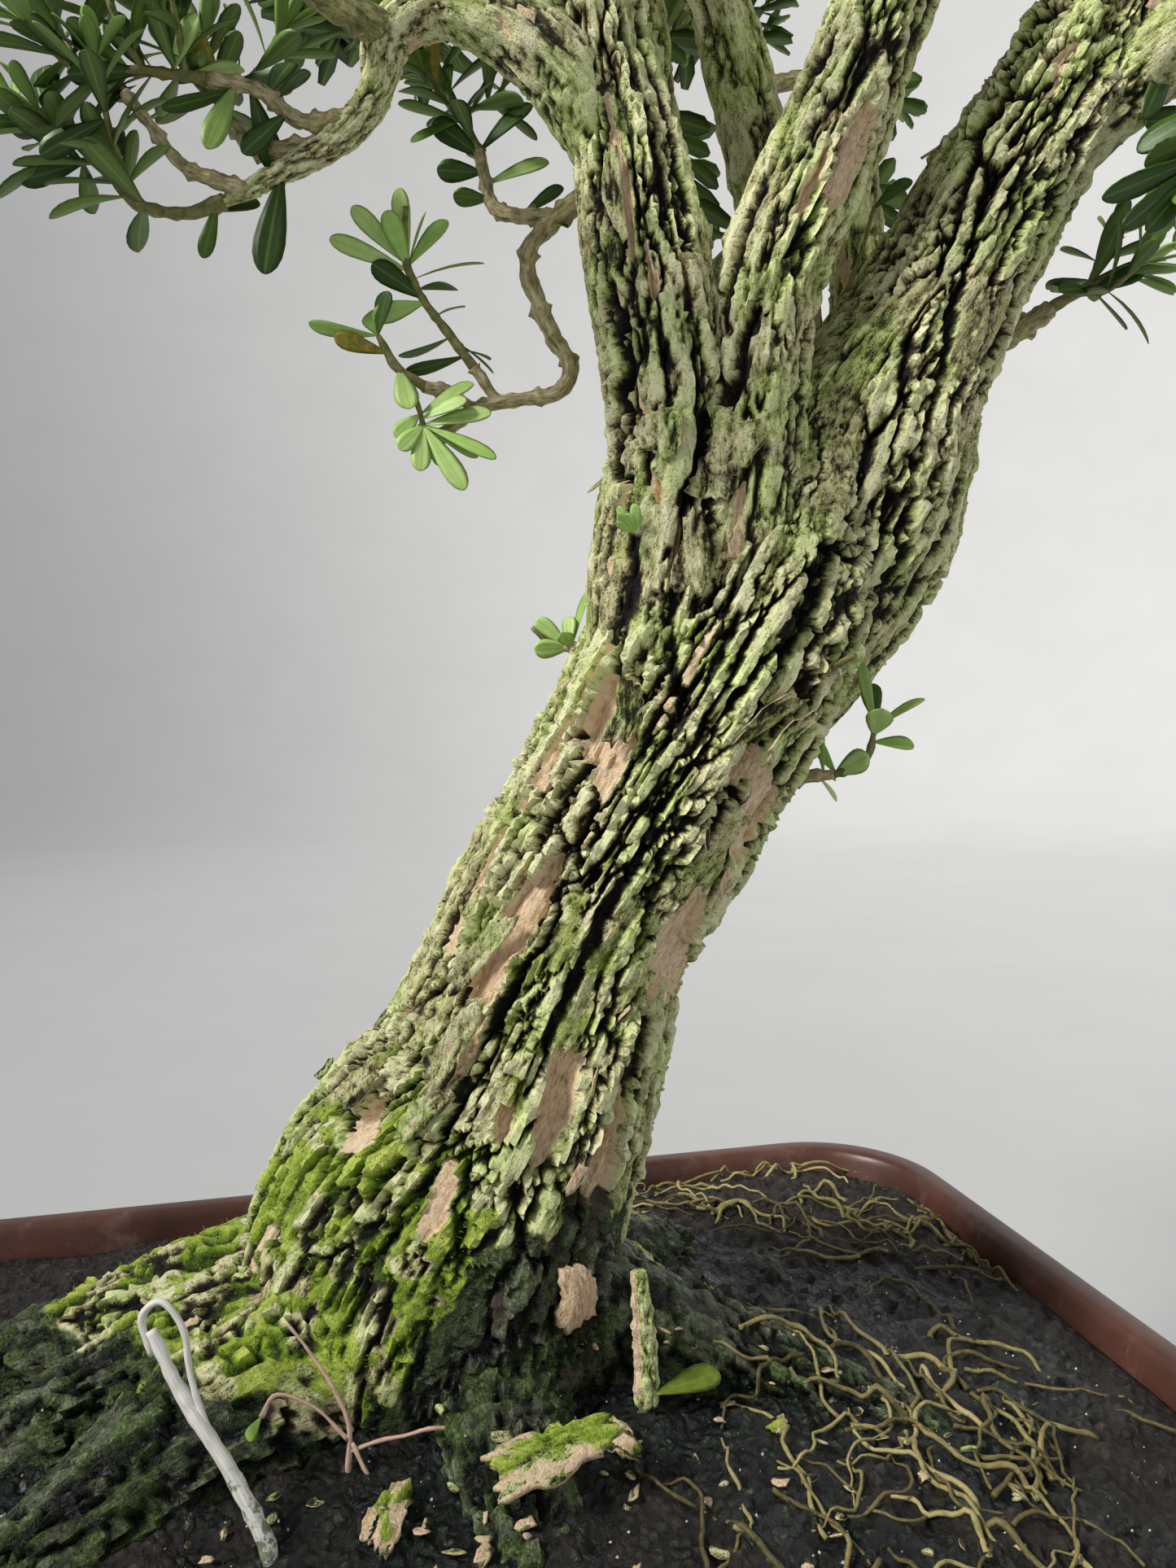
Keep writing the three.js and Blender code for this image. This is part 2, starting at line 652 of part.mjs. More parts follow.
// Whorls are [stem, share of its length, leaves, turn]; stem 0 is the main one.
const LOW_SHOOTS = [
  {
    name: "shoot_left_branch_end",
    seed: 11,
    on: LEFT_BRANCH,
    foot: 2.2,
    main: [[-69, 8, 434, 1.7], [-83, 12, 437, 1.6], [-90, 14, 445, 1.4], [-106, 12, 458, 1]],
    sides: [{ at: 0.7, to: [[-101, 18, 449, 0.9], [-113, 20, 462, 0.7]] }],
    whorls: [
      [0, 0.2, 1, -1.4],
      [0, 0.78, 2, 0.3],
      [0, 0.88, 2, 1.7],
      [0, 0.96, 2, 0.2],
      [1, 0.6, 2, 0.9],
      [1, 0.92, 2, 2.2],
    ],
  },
  {
    name: "shoot_left_branch_upper",
    seed: 12,
    on: TWIGS.left_upper,
    foot: 1.6,
    main: [[-78, 3, 467, 1.4], [-96, 5, 467, 1.2], [-108, 4, 476, 0.9]],
    sides: [{ at: 0.34, to: [[-86, 0, 480, 0.9], [-88, -2, 494, 0.7]] }],
    whorls: [[0, 0.3, 2, 0.4], [0, 0.55, 2, 1.9], [0, 0.8, 2, 0.3], [0, 0.95, 2, 1.7], [1, 0.6, 2, 0.3], [1, 0.93, 2, 1.8]],
  },
  {
    name: "shoot_left_branch_middle",
    seed: 13,
    on: TWIGS.left_middle,
    foot: 1.5,
    main: [[-63, 20, 473, 1.3], [-65, 25, 488, 0.9]],
    sides: [{ at: 0.42, to: [[-52, 24, 480, 0.9], [-44, 22, 492, 0.7]] }],
    whorls: [[0, 0.35, 2, 0.3], [0, 0.7, 2, 1.8], [0, 0.93, 2, 0.4], [1, 0.6, 1, 0.3], [1, 0.93, 2, 1.8]],
  },
  {
    name: "shoot_behind_left_column",
    seed: 14,
    on: TWIGS.behind_left,
    foot: 1.5,
    main: [[7, 25, 477, 1.3], [1, 29, 491, 1.1], [-3, 30, 503, 0.8]],
    sides: [{ at: 0.32, to: [[18, 26, 484, 0.9], [24, 24, 496, 0.7]] }],
    whorls: [[0, 0.2, 2, 1.4], [0, 0.5, 2, 0.2], [0, 0.75, 2, 1.7], [0, 0.95, 2, 0.2], [1, 0.65, 2, 0.2]],
  },
  {
    name: "shoot_hanging_upright",
    young: true,
    seed: 15,
    on: TWIGS.hanging_upright,
    foot: 1.4,
    main: [[1, 9, 408, 1.3], [-6, 10, 417, 1.2], [-11, 10, 428, 1.1], [-11, 9, 442, 0.8]],
    whorls: [[0, 0.28, 2, 0.1], [0, 0.5, 2, 1.6], [0, 0.7, 2, 0.1], [0, 0.85, 2, 1.6], [0, 0.96, 2, 0.1]],
  },
  {
    name: "shoot_hanging_left",
    young: true,
    seed: 16,
    on: TWIGS.hanging_left,
    foot: 1.5,
    main: [[-13, 9, 397, 1.4], [-19, 9, 406, 0.9]],
    sides: [{ at: 0.3, to: [[-9, 7, 388, 0.9], [-7, 5, 381, 0.7]] }],
    whorls: [[0, 0.75, 2, 0.2], [0, 0.94, 2, 1.6], [1, 0.55, 2, 0.4], [1, 0.93, 3, 1.1]],
  },
  {
    name: "shoot_right_low_limb",
    seed: 17,
    on: TWIGS.right_small,
    foot: 1.9,
    main: [[190, -20, 428, 1.6], [204, -23, 432, 1]],
    sides: [{ at: 0.48, to: [[198, -12, 438, 0.9], [206, -8, 448, 0.7]] }],
    whorls: [[0, 0.3, 1, -1.6], [0, 0.7, 2, 1.5], [0, 0.94, 2, 0.2], [1, 0.6, 2, 0.2], [1, 0.93, 2, 1.6]],
  },
  {
    name: "shoot_right_limb_drooping",
    seed: 18,
    on: TWIGS.right_top,
    foot: 1.6,
    main: [[198, -62, 456, 1.3], [192, -60, 443, 0.9]],
    whorls: [[0, 0.3, 2, 0.2], [0, 0.6, 2, 1.7], [0, 0.82, 2, 0.4], [0, 0.95, 2, 1.9]],
  },
  {
    name: "shoot_trunk_left",
    young: true,
    seed: 19,
    size: 0.66,
    on: TWIGS.trunk_left,
    foot: 1,
    main: [[28, 4, 321, 0.9], [24, 5, 325, 0.6]],
    whorls: [[0, 0.4, 2, 0.2], [0, 0.93, 3, 1.7]],
  },
  {
    name: "shoot_trunk_right_upper",
    young: true,
    seed: 20,
    size: 0.6,
    on: TWIGS.trunk_right_upper,
    foot: 1,
    main: [[97, -54, 315, 0.7]],
    whorls: [[0, 0.85, 3, 0.2]],
  },
  {
    name: "shoot_trunk_right_lower",
    young: true,
    seed: 21,
    size: 0.85,
    on: TWIGS.trunk_right_lower,
    foot: 1.2,
    main: [[109, -36, 286, 1.1], [112, -38, 298, 0.7]],
    whorls: [[0, 0.35, 2, 0.2], [0, 0.65, 2, 1.6], [0, 0.94, 3, 0.2]],
  },
];

// Loose things on the soil

// Lets a solid down on the soil until it is a gap clear of all that is placed.
function layDown(solid) {
  let lowest = solid.translate([0, 0, 6]);
  for (let drop = 0; drop < 60; drop += 1) {
    const next = lowest.translate([0, 0, -0.2]);
    if (!isClear(next)) break;
    lowest = next;
  }
  return lowest;
}

// A thin root that wanders over the soil, with side roots; each point lies a little above the soil.
function feederRoots(x, y, heading, reach, seed) {
  const draw = draws(seed);
  const wander = (startX, startY, direction, length, radii) => {
    let [px, py, angle] = [startX, startY, direction];
    return radii.map((radius, i) => {
      if (i > 0) {
        angle += (draw() - 0.5) * 1.5;
        px = THREE.MathUtils.clamp(px + (length / (radii.length - 1)) * Math.cos(angle), -186, 186);
        py = THREE.MathUtils.clamp(py + (length / (radii.length - 1)) * Math.sin(angle), -122, 122);
      }
      return [px, py, ground(px, py) + 1.2, radius];
    });
  };
  const main = wander(x, y, heading, 2 * reach, [0.8, 1.1, 1.1, 1, 0.8, 0.6]);
  const sides = [1, 2, 3, 4].map((i) => {
    const { foot } = onChords(main, i / 5);
    const turn = (i % 2 === 0 ? 1 : -1) * (0.8 + 0.6 * draw());
    const points = wander(foot.x, foot.y, heading + turn, reach * (0.7 + 0.5 * draw()), [SUNK_RADIUS, 0.9, 0.8, 0.6]);
    points[0][2] = foot.z;
    return points;
  });
  const strands = [main, ...sides]
    .map((points) => solidOf(tube(points, 3, points.length - 1)))
    .reduce((sum, strand) => sum.add(strand));
  return strands.decompose().sort((a, b) => b.volume() - a.volume())[0];
}

// A broken scale of bark, thicker on one side.
function barkChip(x, y, length, width, thickness, heading, tilt, seed) {
  const draw = draws(seed);
  const outline = new THREE.Shape();
  for (let i = 0; i < 7; i += 1) {
    const angle = (2 * Math.PI * i) / 7;
    const r = 0.5 * (0.8 + 0.35 * draw());
    const [px, py] = [length * r * Math.cos(angle), width * r * Math.sin(angle)];
    if (i === 0) outline.moveTo(px, py);
    else outline.lineTo(px, py);
  }
  outline.closePath();
  const chip = new THREE.ExtrudeGeometry(outline, { depth: thickness, bevelEnabled: false });
  chip.rotateX(tilt).rotateZ(heading).translate(x, y, ground(x, y) + 0.5 * width * Math.sin(Math.abs(tilt)));
  return layDown(solidOf(chip));
}

// Materials

const finish = (color, roughness) => new THREE.MeshStandardMaterial({ color, roughness, metalness: 0 });
const MATERIALS = {
  pot: finish("#553a34", 0.45),
  screen: finish("#2c2c2c", 0.7),
  soil: finish("#28221f", 0.95),
  bark: finish("#8f8a62", 0.9),
  leaf: finish("#3f6123", 0.45),
  youngLeaf: finish("#8fb25a", 0.45),
  fallenLeaf: finish("#6f7a46", 0.6),
  root: finish("#8d8350", 0.85),
  deadWood: finish("#8b8a6c", 0.9),
  chip: finish("#c9a27d", 0.9),
  weed: finish("#b0796c", 0.6),
  straw: finish("#cfcdc4", 0.6),
};

const bonsai = new THREE.Group();

function addNode(name, solid, material) {
  const mesh = new THREE.Mesh(geometryOf(solid), material);
  mesh.name = name;
  bonsai.add(mesh);
  placed.push(solid);
}

// Pot and the mesh screens over its drain holes

addNode("pot", potSolid(), MATERIALS.pot);
addNode("drain_screen_left", screenSolid(-DRAIN_X), MATERIALS.screen);
addNode("drain_screen_right", screenSolid(DRAIN_X), MATERIALS.screen);

// Soil, with holes for the trunk, the roots and what stands in it

// Rows are [x, y, height above the soil at the foot, radius], and each piece starts BURIED below its first row.
const DEAD_TWIG = [[43, -49, 0, 2.6], [42.5, -48.5, 20, 2.3], [41, -47, 37, 1.9]];
const DEAD_STALK = [[-52, -72, 0, 2], [-60, -66, 16, 1.8], [-72, -58, 34, 1.6], [-78, -54, 46, 1.3]];
const SEEDLING = [[-34, -54, 0, 0.9], [-34, -54, 12, 0.8], [-42, -50, 28, 0.7], [-48, -48, 36, 0.6]];

function standing(rows, sides, grow) {
  const [x, y, , radius] = rows[0];
  const z = ground(x, y);
  const points = rows.map(([px, py, height, r]) => [px, py, z + height, r]);
  return tube([[x, y, z - BURIED, radius], ...points], sides, rows.length, PLAIN, grow);
}

let soil = solidOf(soilGeometry());
[-DRAIN_X, DRAIN_X].forEach((x) => {
  const pocket = new THREE.BoxGeometry(SCREEN_SIDE + 2 * GAP, SCREEN_SIDE + 2 * GAP, 4 * SCREEN_THICKNESS);
  pocket.translate(x, 0, POT_FLOOR + GAP + SCREEN_THICKNESS + GAP - 2 * SCREEN_THICKNESS);
  soil = soil.subtract(solidOf(pocket));
});
[
  trunkTube(GAP),
  ...ROOTS.map((root, i) => rootTube(root, i, GAP)),
  standing(DEAD_TWIG, 7, GAP),
  standing(DEAD_STALK, 6, GAP),
  standing(SEEDLING, 4, GAP),
].forEach((hole) => {
  soil = soil.subtract(solidOf(hole));
});
soil = soil.decompose().sort((a, b) => b.volume() - a.volume())[0];
addNode("soil", soil, MATERIALS.soil);

// Wood: trunk, root flare, limbs and branches are one grown piece.

const branches = growBranches();
let wood = woodStrands()
  .map(solidOf)
  .reduce((sum, strand) => sum.add(strand));
branches.forEach((points) => {
  wood = wood.add(solidOf(tube(points, 3, 3)));
});
wood = wood.decompose().sort((a, b) => b.volume() - a.volume())[0];
addNode("trunk_and_branches", wood, MATERIALS.bark);

// Leafy shoots low on the tree, and the crown's sprays

LOW_SHOOTS.forEach(({ name, young, ...spec }) => {
  const shoot = shootSolid(spec);
  if (shoot) addNode(name, shoot, young ? MATERIALS.youngLeaf : MATERIALS.leaf);
  else console.log("no room for", name);
});

[...LIMBS, ...branches].forEach((branch, i) => {
  const spray = shootSolid(spraySpec(branch, 101 + i));
  if (spray) addNode(`spray_${String(i + 1).padStart(2, "0")}`, spray, MATERIALS.leaf);
  else console.log("no room for spray", i + 1);
});

// What stands in the soil

addNode("dead_twig", solidOf(standing(DEAD_TWIG, 7, 0)), MATERIALS.deadWood);
addNode("dead_stalk", solidOf(standing(DEAD_STALK, 6, 0)), MATERIALS.straw);
addNode("seedling", solidOf(standing(SEEDLING, 4, 0)), MATERIALS.weed);

// What lies on the soil

[
  [96, -98, 0.9, 40, 31],
  [134, -52, 0.1, 34, 32],
  [120, 112, -0.5, 42, 33],
  [186, 62, 2.3, 34, 34],
].forEach(([x, y, heading, reach, seed], i) => {
  const strands = layDown(feederRoots(x, y, heading, reach, seed));
  addNode(`surface_roots_${i + 1}`, strands, MATERIALS.root);
});

[
  [-26, -72, 17, 8, 3, 1.1, 0.3, 41],
  [12, -74, 30, 14, 4, 0.2, 0.25, 42],
  [32, -60, 12, 7, 2.5, -0.9, 0.3, 43],
  [76, -58, 6, 5, 1.6, 0.4, 0.1, 44],
].forEach(([x, y, length, width, thickness, heading, tilt, seed], i) => {
  const chip = barkChip(x, y, length, width, thickness, heading, tilt, seed);
  addNode(`bark_chip_${i + 1}`, chip, MATERIALS.chip);
});

export default bonsai;
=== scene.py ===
import itertools
import math

import bpy
import numpy as np
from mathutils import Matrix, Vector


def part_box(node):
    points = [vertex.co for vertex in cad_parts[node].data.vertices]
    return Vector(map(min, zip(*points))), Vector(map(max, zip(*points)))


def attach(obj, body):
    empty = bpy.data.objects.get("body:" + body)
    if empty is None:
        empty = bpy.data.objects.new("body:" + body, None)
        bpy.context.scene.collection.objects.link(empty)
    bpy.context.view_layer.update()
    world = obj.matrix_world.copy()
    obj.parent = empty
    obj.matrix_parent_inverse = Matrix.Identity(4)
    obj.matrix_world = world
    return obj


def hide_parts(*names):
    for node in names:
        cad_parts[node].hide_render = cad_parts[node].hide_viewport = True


# A Harland boxwood bonsai in its rectangular pot. Lengths below are in millimetres until a mesh is
# made. The origin is the centre of the pot's underside, +X its long side, +Y its back, +Z up.
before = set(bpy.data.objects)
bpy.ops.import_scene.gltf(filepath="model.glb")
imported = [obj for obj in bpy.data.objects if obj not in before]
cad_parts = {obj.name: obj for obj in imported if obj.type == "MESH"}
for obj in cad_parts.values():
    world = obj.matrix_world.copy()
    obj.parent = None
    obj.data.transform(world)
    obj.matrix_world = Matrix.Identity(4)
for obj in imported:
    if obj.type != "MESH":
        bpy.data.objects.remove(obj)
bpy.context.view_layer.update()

# ------------------------------------------------------------------------------
# Camera
# A hand-held camera a third of a metre in front of the trunk, level with the fork and a little
# to the left, tipped down a few degrees. It takes an upright picture of 1445 x 1927 pixels.
CAMERA_PLACE = np.array([-45.4, -333.2, 301.0])
CAMERA_TURN, CAMERA_DOWN = math.radians(14.3), math.radians(3.6)
FOCAL_PIXELS, PICTURE = 1447.0, (1445, 1927)
SENSOR = 36
UPRIGHT = np.array([0, 0, 1.0])
# the ways that are right, forward and up in the picture
RIGHT = np.array([math.cos(CAMERA_TURN), -math.sin(CAMERA_TURN), 0])
LEVEL = np.array([math.sin(CAMERA_TURN), math.cos(CAMERA_TURN), 0])
FORWARD = LEVEL * math.cos(CAMERA_DOWN) - UPRIGHT * math.sin(CAMERA_DOWN)
UP = LEVEL * math.sin(CAMERA_DOWN) + UPRIGHT * math.cos(CAMERA_DOWN)

camera_data = bpy.data.cameras.new("camera")
camera_data.sensor_width = SENSOR
camera_data.lens = SENSOR * FOCAL_PIXELS / PICTURE[1]
camera_data.clip_start = 0.01
camera = bpy.data.objects.new("camera", camera_data)
camera.location = CAMERA_PLACE / 1000
camera.rotation_euler = (math.pi / 2 - CAMERA_DOWN, 0, -CAMERA_TURN)
bpy.context.scene.collection.objects.link(camera)
bpy.context.scene.camera = camera


def seen_at(place):
    """Column and row of the picture where points are seen: their way from the camera to the right
    and up, each divided by their way forward."""
    way = place - CAMERA_PLACE
    depth = np.maximum(way @ FORWARD, 1)
    column = PICTURE[0] / 2 + FOCAL_PIXELS * (way @ RIGHT) / depth
    return column, PICTURE[1] / 2 - FOCAL_PIXELS * (way @ UP) / depth


# ------------------------------------------------------------------------------
# Pot
# A shallow rectangular training pot of red-brown glazed clay with round corners and a rolled
# lip. Two drain holes and two channels open its floor, and it stands on what is left of its
# flat underside.
POT_LENGTH, POT_WIDTH, POT_CORNER, POT_FLOOR = 440, 310, 50, 6
DRAIN_X, DRAIN_RADIUS, DRAIN_SIDES = 95, 13, 48
CHANNEL_WIDTH, CHANNEL_DEPTH = 12, 2.5
CUT_FROM, CUT_THROUGH = -5, 20
# [inset from the lip's outer edge, height], up the outside, over the lip and down the inside
POT_PROFILE = [
    [25, 0], [20, 4], [10.5, 92], [9.5, 94], [1.5, 94.5], [0, 96.5], [0, 102], [1, 104], [3.5, 105],
    [9, 105], [11, 103.8], [12.5, 99], [14.5, 91], [24, 12], [30, 6],
]


def cut_corners(points, times):
    """Rounds a chain of points: each step puts two new points a quarter in from the ends of every
    stretch, and keeps the first and the last point."""
    chain = np.array(points, float)
    for _ in range(times):
        near = 0.75 * chain[:-1] + 0.25 * chain[1:]
        far = 0.25 * chain[:-1] + 0.75 * chain[1:]
        between = np.stack([near, far], 1).reshape(-1, chain.shape[1])
        chain = np.concatenate([chain[:1], between, chain[-1:]])
    return chain


def corner_radius(inset):
    """Radius of the pot's round corners at an inset from its lip's outer edge."""
    return POT_CORNER - 0.7 * inset


def pot_outline(inset, corner_steps=14, side_steps=10):
    """Points round a rectangle with round corners, counter-clockwise from the right-hand side:
    each corner is a quarter circle, and each side between two is cut into equal steps."""
    radius = corner_radius(inset)
    half = np.array([POT_LENGTH / 2 - inset - radius, POT_WIDTH / 2 - inset - radius])
    parts = []
    for quarter, sign in enumerate([(1, 1), (-1, 1), (-1, -1), (1, -1)]):
        angle = (quarter + np.linspace(0, 1, corner_steps + 1)) * math.pi / 2
        parts.append(half * sign + radius * np.stack([np.cos(angle), np.sin(angle)], 1))
    share = np.linspace(0, 1, side_steps + 2)[1:-1, None]
    ring = []
    for here, following in zip(parts, parts[1:] + parts[:1]):
        ring += [here, here[-1] * (1 - share) + following[0] * share]
    return np.concatenate(ring)


def ring_faces(rings, sides):
    """Quads between each ring of a stack and the next, facing out when the rings run
    counter-clockwise about the way that they are stacked."""
    here = np.arange((rings - 1) * sides).reshape(rings - 1, sides)
    beside = np.roll(here, -1, 1)
    return np.stack([here, beside, beside + sides, here + sides], -1).reshape(-1, 4)


def drum_faces(rings, sides):
    """The faces of a stack of rings, with one flat face on the first ring and one on the last."""
    end = np.arange(sides)[None]
    return [ring_faces(rings, sides), end[:, ::-1], (rings - 1) * sides + end]


def drum_points(levels):
    """The points of flat rings, each with its height."""
    return np.concatenate([np.column_stack([ring, np.full(len(ring), z)]) for ring, z in levels])


def new_piece(name, points, faces, finish, marks=None):
    """An object at the origin, of points in mm and faces in groups of equal corner counts. marks
    are values or vectors, one a point, that its finish reads by name."""
    counts = np.concatenate([np.full(len(group), group.shape[1]) for group in faces])
    corners = np.concatenate([group.ravel() for group in faces])
    mesh = bpy.data.meshes.new(name)
    mesh.vertices.add(len(points))
    mesh.vertices.foreach_set("co", (points / 1000).astype(np.float32).ravel())
    mesh.loops.add(len(corners))
    mesh.loops.foreach_set("vertex_index", corners.astype(np.int32))
    mesh.polygons.add(len(counts))
    mesh.polygons.foreach_set("loop_start", (np.cumsum(counts) - counts).astype(np.int32))
    mesh.polygons.foreach_set("use_smooth", np.ones(len(counts), bool))
    mesh.update(calc_edges=True)
    mesh.validate()
    for mark, values in (marks or {}).items():
        kind, part = ("FLOAT", "value") if values.ndim == 1 else ("FLOAT_VECTOR", "vector")
        layer = mesh.attributes.new(mark, kind, "POINT")
        layer.data.foreach_set(part, values.astype(np.float32).ravel())
    mesh.materials.append(finish)
    piece = bpy.data.objects.new(name, mesh)
    bpy.context.scene.collection.objects.link(piece)
    return piece


def fit(piece, slot, *nodes):
    """The piece rides on the body and stands for the named solids, which are hidden. slot is not
    used.
    """
    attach(piece, "root")
    if nodes:
        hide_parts(*nodes)


def feed(tree, inputs, values):
    """Gives each named input of a node its value or its wire."""
    for key, value in values.items():
        if isinstance(value, Wire):
            tree.links.new(value.socket, inputs[key])
        else:
            inputs[key].default_value = value


def joins(operation, turned=False):
    """An operator between wires that adds one Math node. Turned, its right side comes first."""

    def operator(self, other):
        first, second = (other, self) if turned else (self, other)
        return self.node("Math", {0: first, 1: second}, operation=operation)

    return operator


class Wire:
    """Wraps a socket of a material, so that sums of wires and numbers read as they are written."""

    def __init__(self, tree, socket=None):
        self.tree, self.socket = tree, socket

    def node(self, kind, sockets, take=0, **settings):
        """Adds a node with a value or wire for each input, and takes one of its outputs."""
        made = self.tree.nodes.new("ShaderNode" + kind)
        for key, value in settings.items():
            setattr(made, key, value)
        feed(self.tree, made.inputs, sockets)
        return Wire(self.tree, made.outputs[take])

    __add__, __radd__ = joins("ADD"), joins("ADD", True)
    __sub__, __rsub__ = joins("SUBTRACT"), joins("SUBTRACT", True)
    __mul__, __rmul__ = joins("MULTIPLY"), joins("MULTIPLY", True)
    __mod__ = joins("FLOORED_MODULO")

    def __abs__(self):
        return joins("ABSOLUTE")(self, 0)

    def between(self, low, high):
        """0 below low and 1 above high, with an eased climb between them."""
        ends = {"Value": self, "From Min": low, "From Max": high}
        return self.node("MapRange", ends, interpolation_type="SMOOTHSTEP")

    def mix(self, first, second):
        """A colour: the first where this value is 0, the second where it is 1."""
        return self.node("Mix", {0: self, 6: first, 7: second}, 2, data_type="RGBA")

    def ramp(self, *stops):
        """The colours of stops and between them; a stop is a position and a screen colour."""
        wire = self.node("ValToRGB", {"Fac": self})
        elements = wire.socket.node.color_ramp.elements
        for element, (position, *colour) in zip(elements, (stops[0], stops[-1])):
            element.position, element.color = position, tone(*colour)
        for position, *colour in stops[1:-1]:
            elements.new(position).color = tone(*colour)
        return wire

    def grain(self, scale, detail=3, stretch=(1, 1, 1), roughness=0.55):
        """Noise from 0 to 1 on this vector, with scale spots a metre, drawn out by stretch."""
        drawn = self.node("VectorMath", {0: self, 1: stretch}, operation="MULTIPLY")
        sockets = {"Vector": drawn, "Scale": scale, "Detail": detail, "Roughness": roughness}
        return self.node("TexNoise", sockets)

    def spots(self, scale):
        """Distance to the nearest of scattered spots, scale of them a metre, in spot spacings."""
        return self.node("TexVoronoi", {"Vector": self, "Scale": scale}, feature="F1")

    def place(self):
        """Where the point lies, in metres."""
        return self.node("TexCoord", {}, 3)

    def height(self):
        """The z of this vector."""
        return self.node("SeparateXYZ", {"Vector": self}, 2)

    def mark(self, name, take=2):
        """The value that the mesh holds under this name, or with take at 1 the vector."""
        return self.node("Attribute", {}, take, attribute_name=name)

    def marks(self, *names):
        """Several such values."""
        return [self.mark(name) for name in names]

    def bump(self, strength, distance):
        """The normal of a surface that this value lifts, at 1 by the distance in metres."""
        return self.node("Bump", {"Strength": strength, "Distance": distance, "Height": self})


def tone(red, green, blue):
    """An 8-bit screen colour as the linear colour that a shader takes."""
    screen = np.array([red, green, blue]) / 255
    linear = np.where(screen <= 0.04045, screen / 12.92, ((screen + 0.055) / 1.055) ** 2.4)
    return (*linear.tolist(), 1.0)


def new_finish(name, paint):
    """A material. paint gets a loose wire of its tree and gives the sockets of the shader:
    values for what is the same all over, wires for what varies."""
    finish = bpy.data.materials.new(name)
    finish.use_nodes = True
    tree = finish.node_tree
    shader = next(node for node in tree.nodes if node.type == "BSDF_PRINCIPLED")
    feed(tree, shader.inputs, paint(Wire(tree)))
    return finish


def pot_glaze(wire):
    """Red-brown glaze, darker where it ran thin, with dust and dried lime on top of it."""
    place = wire.place()
    cloud, speck = place.grain(14, 5), place.grain(700, 2)
    dust = place.grain(60, 6, roughness=0.7).between(0.5, 0.75) * place.height().between(0.07, 0.1)
    glaze = cloud.ramp((0.3, 58, 36, 31), (0.5, 92, 58, 48), (0.72, 112, 72, 60))
    body = (speck.between(0.62, 0.72) * 0.5).mix(glaze, tone(52, 33, 29))
    return {
        "Base Color": (dust * 0.4).mix(body, tone(150, 128, 118)),
        "Roughness": 0.3 + cloud * 0.18 + dust * 0.3,
        "Normal": (cloud * 0.6 + speck * 0.15).bump(0.35, 0.0006),
    }


def turns(count):
    """Angles at equal steps round a circle."""
    return np.linspace(0, 2 * math.pi, count, endpoint=False)


def cut_out(piece, ring, top):
    """Takes what stands inside a ring, up to a height, out of the piece."""
    levels = [(ring, CUT_FROM), (ring, top)]
    cutter = new_piece("cutter", drum_points(levels), drum_faces(2, len(ring)), pot_finish)
    cut = piece.modifiers.new("cut", "BOOLEAN")
    cut.operation, cut.solver, cut.object = "DIFFERENCE", "EXACT", cutter
    evaluated = piece.evaluated_get(bpy.context.evaluated_depsgraph_get())
    mesh = bpy.data.meshes.new_from_object(evaluated)
    piece.modifiers.clear()
    piece.data = mesh
    bpy.data.objects.remove(cutter)


pot_levels = [(pot_outline(inset), z) for inset, z in cut_corners(POT_PROFILE, 2)]
pot_finish = new_finish("red_brown_glaze", pot_glaze)
pot_faces = drum_faces(len(pot_levels), len(pot_levels[0][0]))
pot = new_piece("glazed_pot", drum_points(pot_levels), pot_faces, pot_finish)
drain = DRAIN_RADIUS * np.stack([np.cos(turns(DRAIN_SIDES)), np.sin(turns(DRAIN_SIDES))], 1)
channel = np.array([[-1, -1], [1, -1], [1, 1], [-1, 1]]) * [CHANNEL_WIDTH / 2, POT_WIDTH]
for x in (-DRAIN_X, DRAIN_X):
    cut_out(pot, drain + [x, 0], CUT_THROUGH)
    cut_out(pot, channel + [x, 0], CHANNEL_DEPTH)
pot.data.set_sharp_from_angle(angle=math.radians(35))
fit(pot, "pot", "pot")

# ------------------------------------------------------------------------------
# Drain screens
# Squares of black plastic mesh that keep the soil in. They lie on the pot's floor over its drain
# holes, under the soil, and are seen only through the holes.


def black_plastic(wire):
    """Black moulded plastic with a fine scuffed surface and soil dust on it."""
    place = wire.place()
    dust = place.grain(180, 5).between(0.45, 0.75)
    return {
        "Base Color": (dust * 0.6).mix(tone(24, 24, 25), tone(62, 52, 44)),
        "Roughness": 0.5 + dust * 0.35,
        "Normal": place.grain(1500, 2).bump(0.3, 0.0003),
    }


screen_finish = new_finish("black_mesh_plastic", black_plastic)
for node in ("drain_screen_left", "drain_screen_right"):
    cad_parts[node].data.materials.clear()
    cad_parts[node].data.materials.append(screen_finish)

# ------------------------------------------------------------------------------
# Soil
# Dark peaty soil, heaped round the foot of the trunk and wet from watering. Its crust is
# crumbly, with a film of blue-green moss and algae over most of the mound.
SOIL_INSET, SOIL_EDGE, SOIL_STEP = 15.4, 92, 2.2
SOIL_FOOT_INSET, SOIL_GAP = 15, 0.4
# along the pot the crust grows smooth and lies a little lower
EDGE_BAND, EDGE_DROP = 6, 1.5
# height, middle x and y, and reach in x and y
MOUND, CORNER_MOUND = (29, 4, -6, 1.3 * 124, 124), (8, 158, 98, 60, 45)
# middle x and y, and reach in x and y
MOSS_FILM = 5, -40, 160, 92
# noise looks up one of so many drawn values by a key from the three counts of a lattice corner
NOISE_VALUES, NOISE_KEYS = 8192, np.array([73856093, 19349663, 83492791])


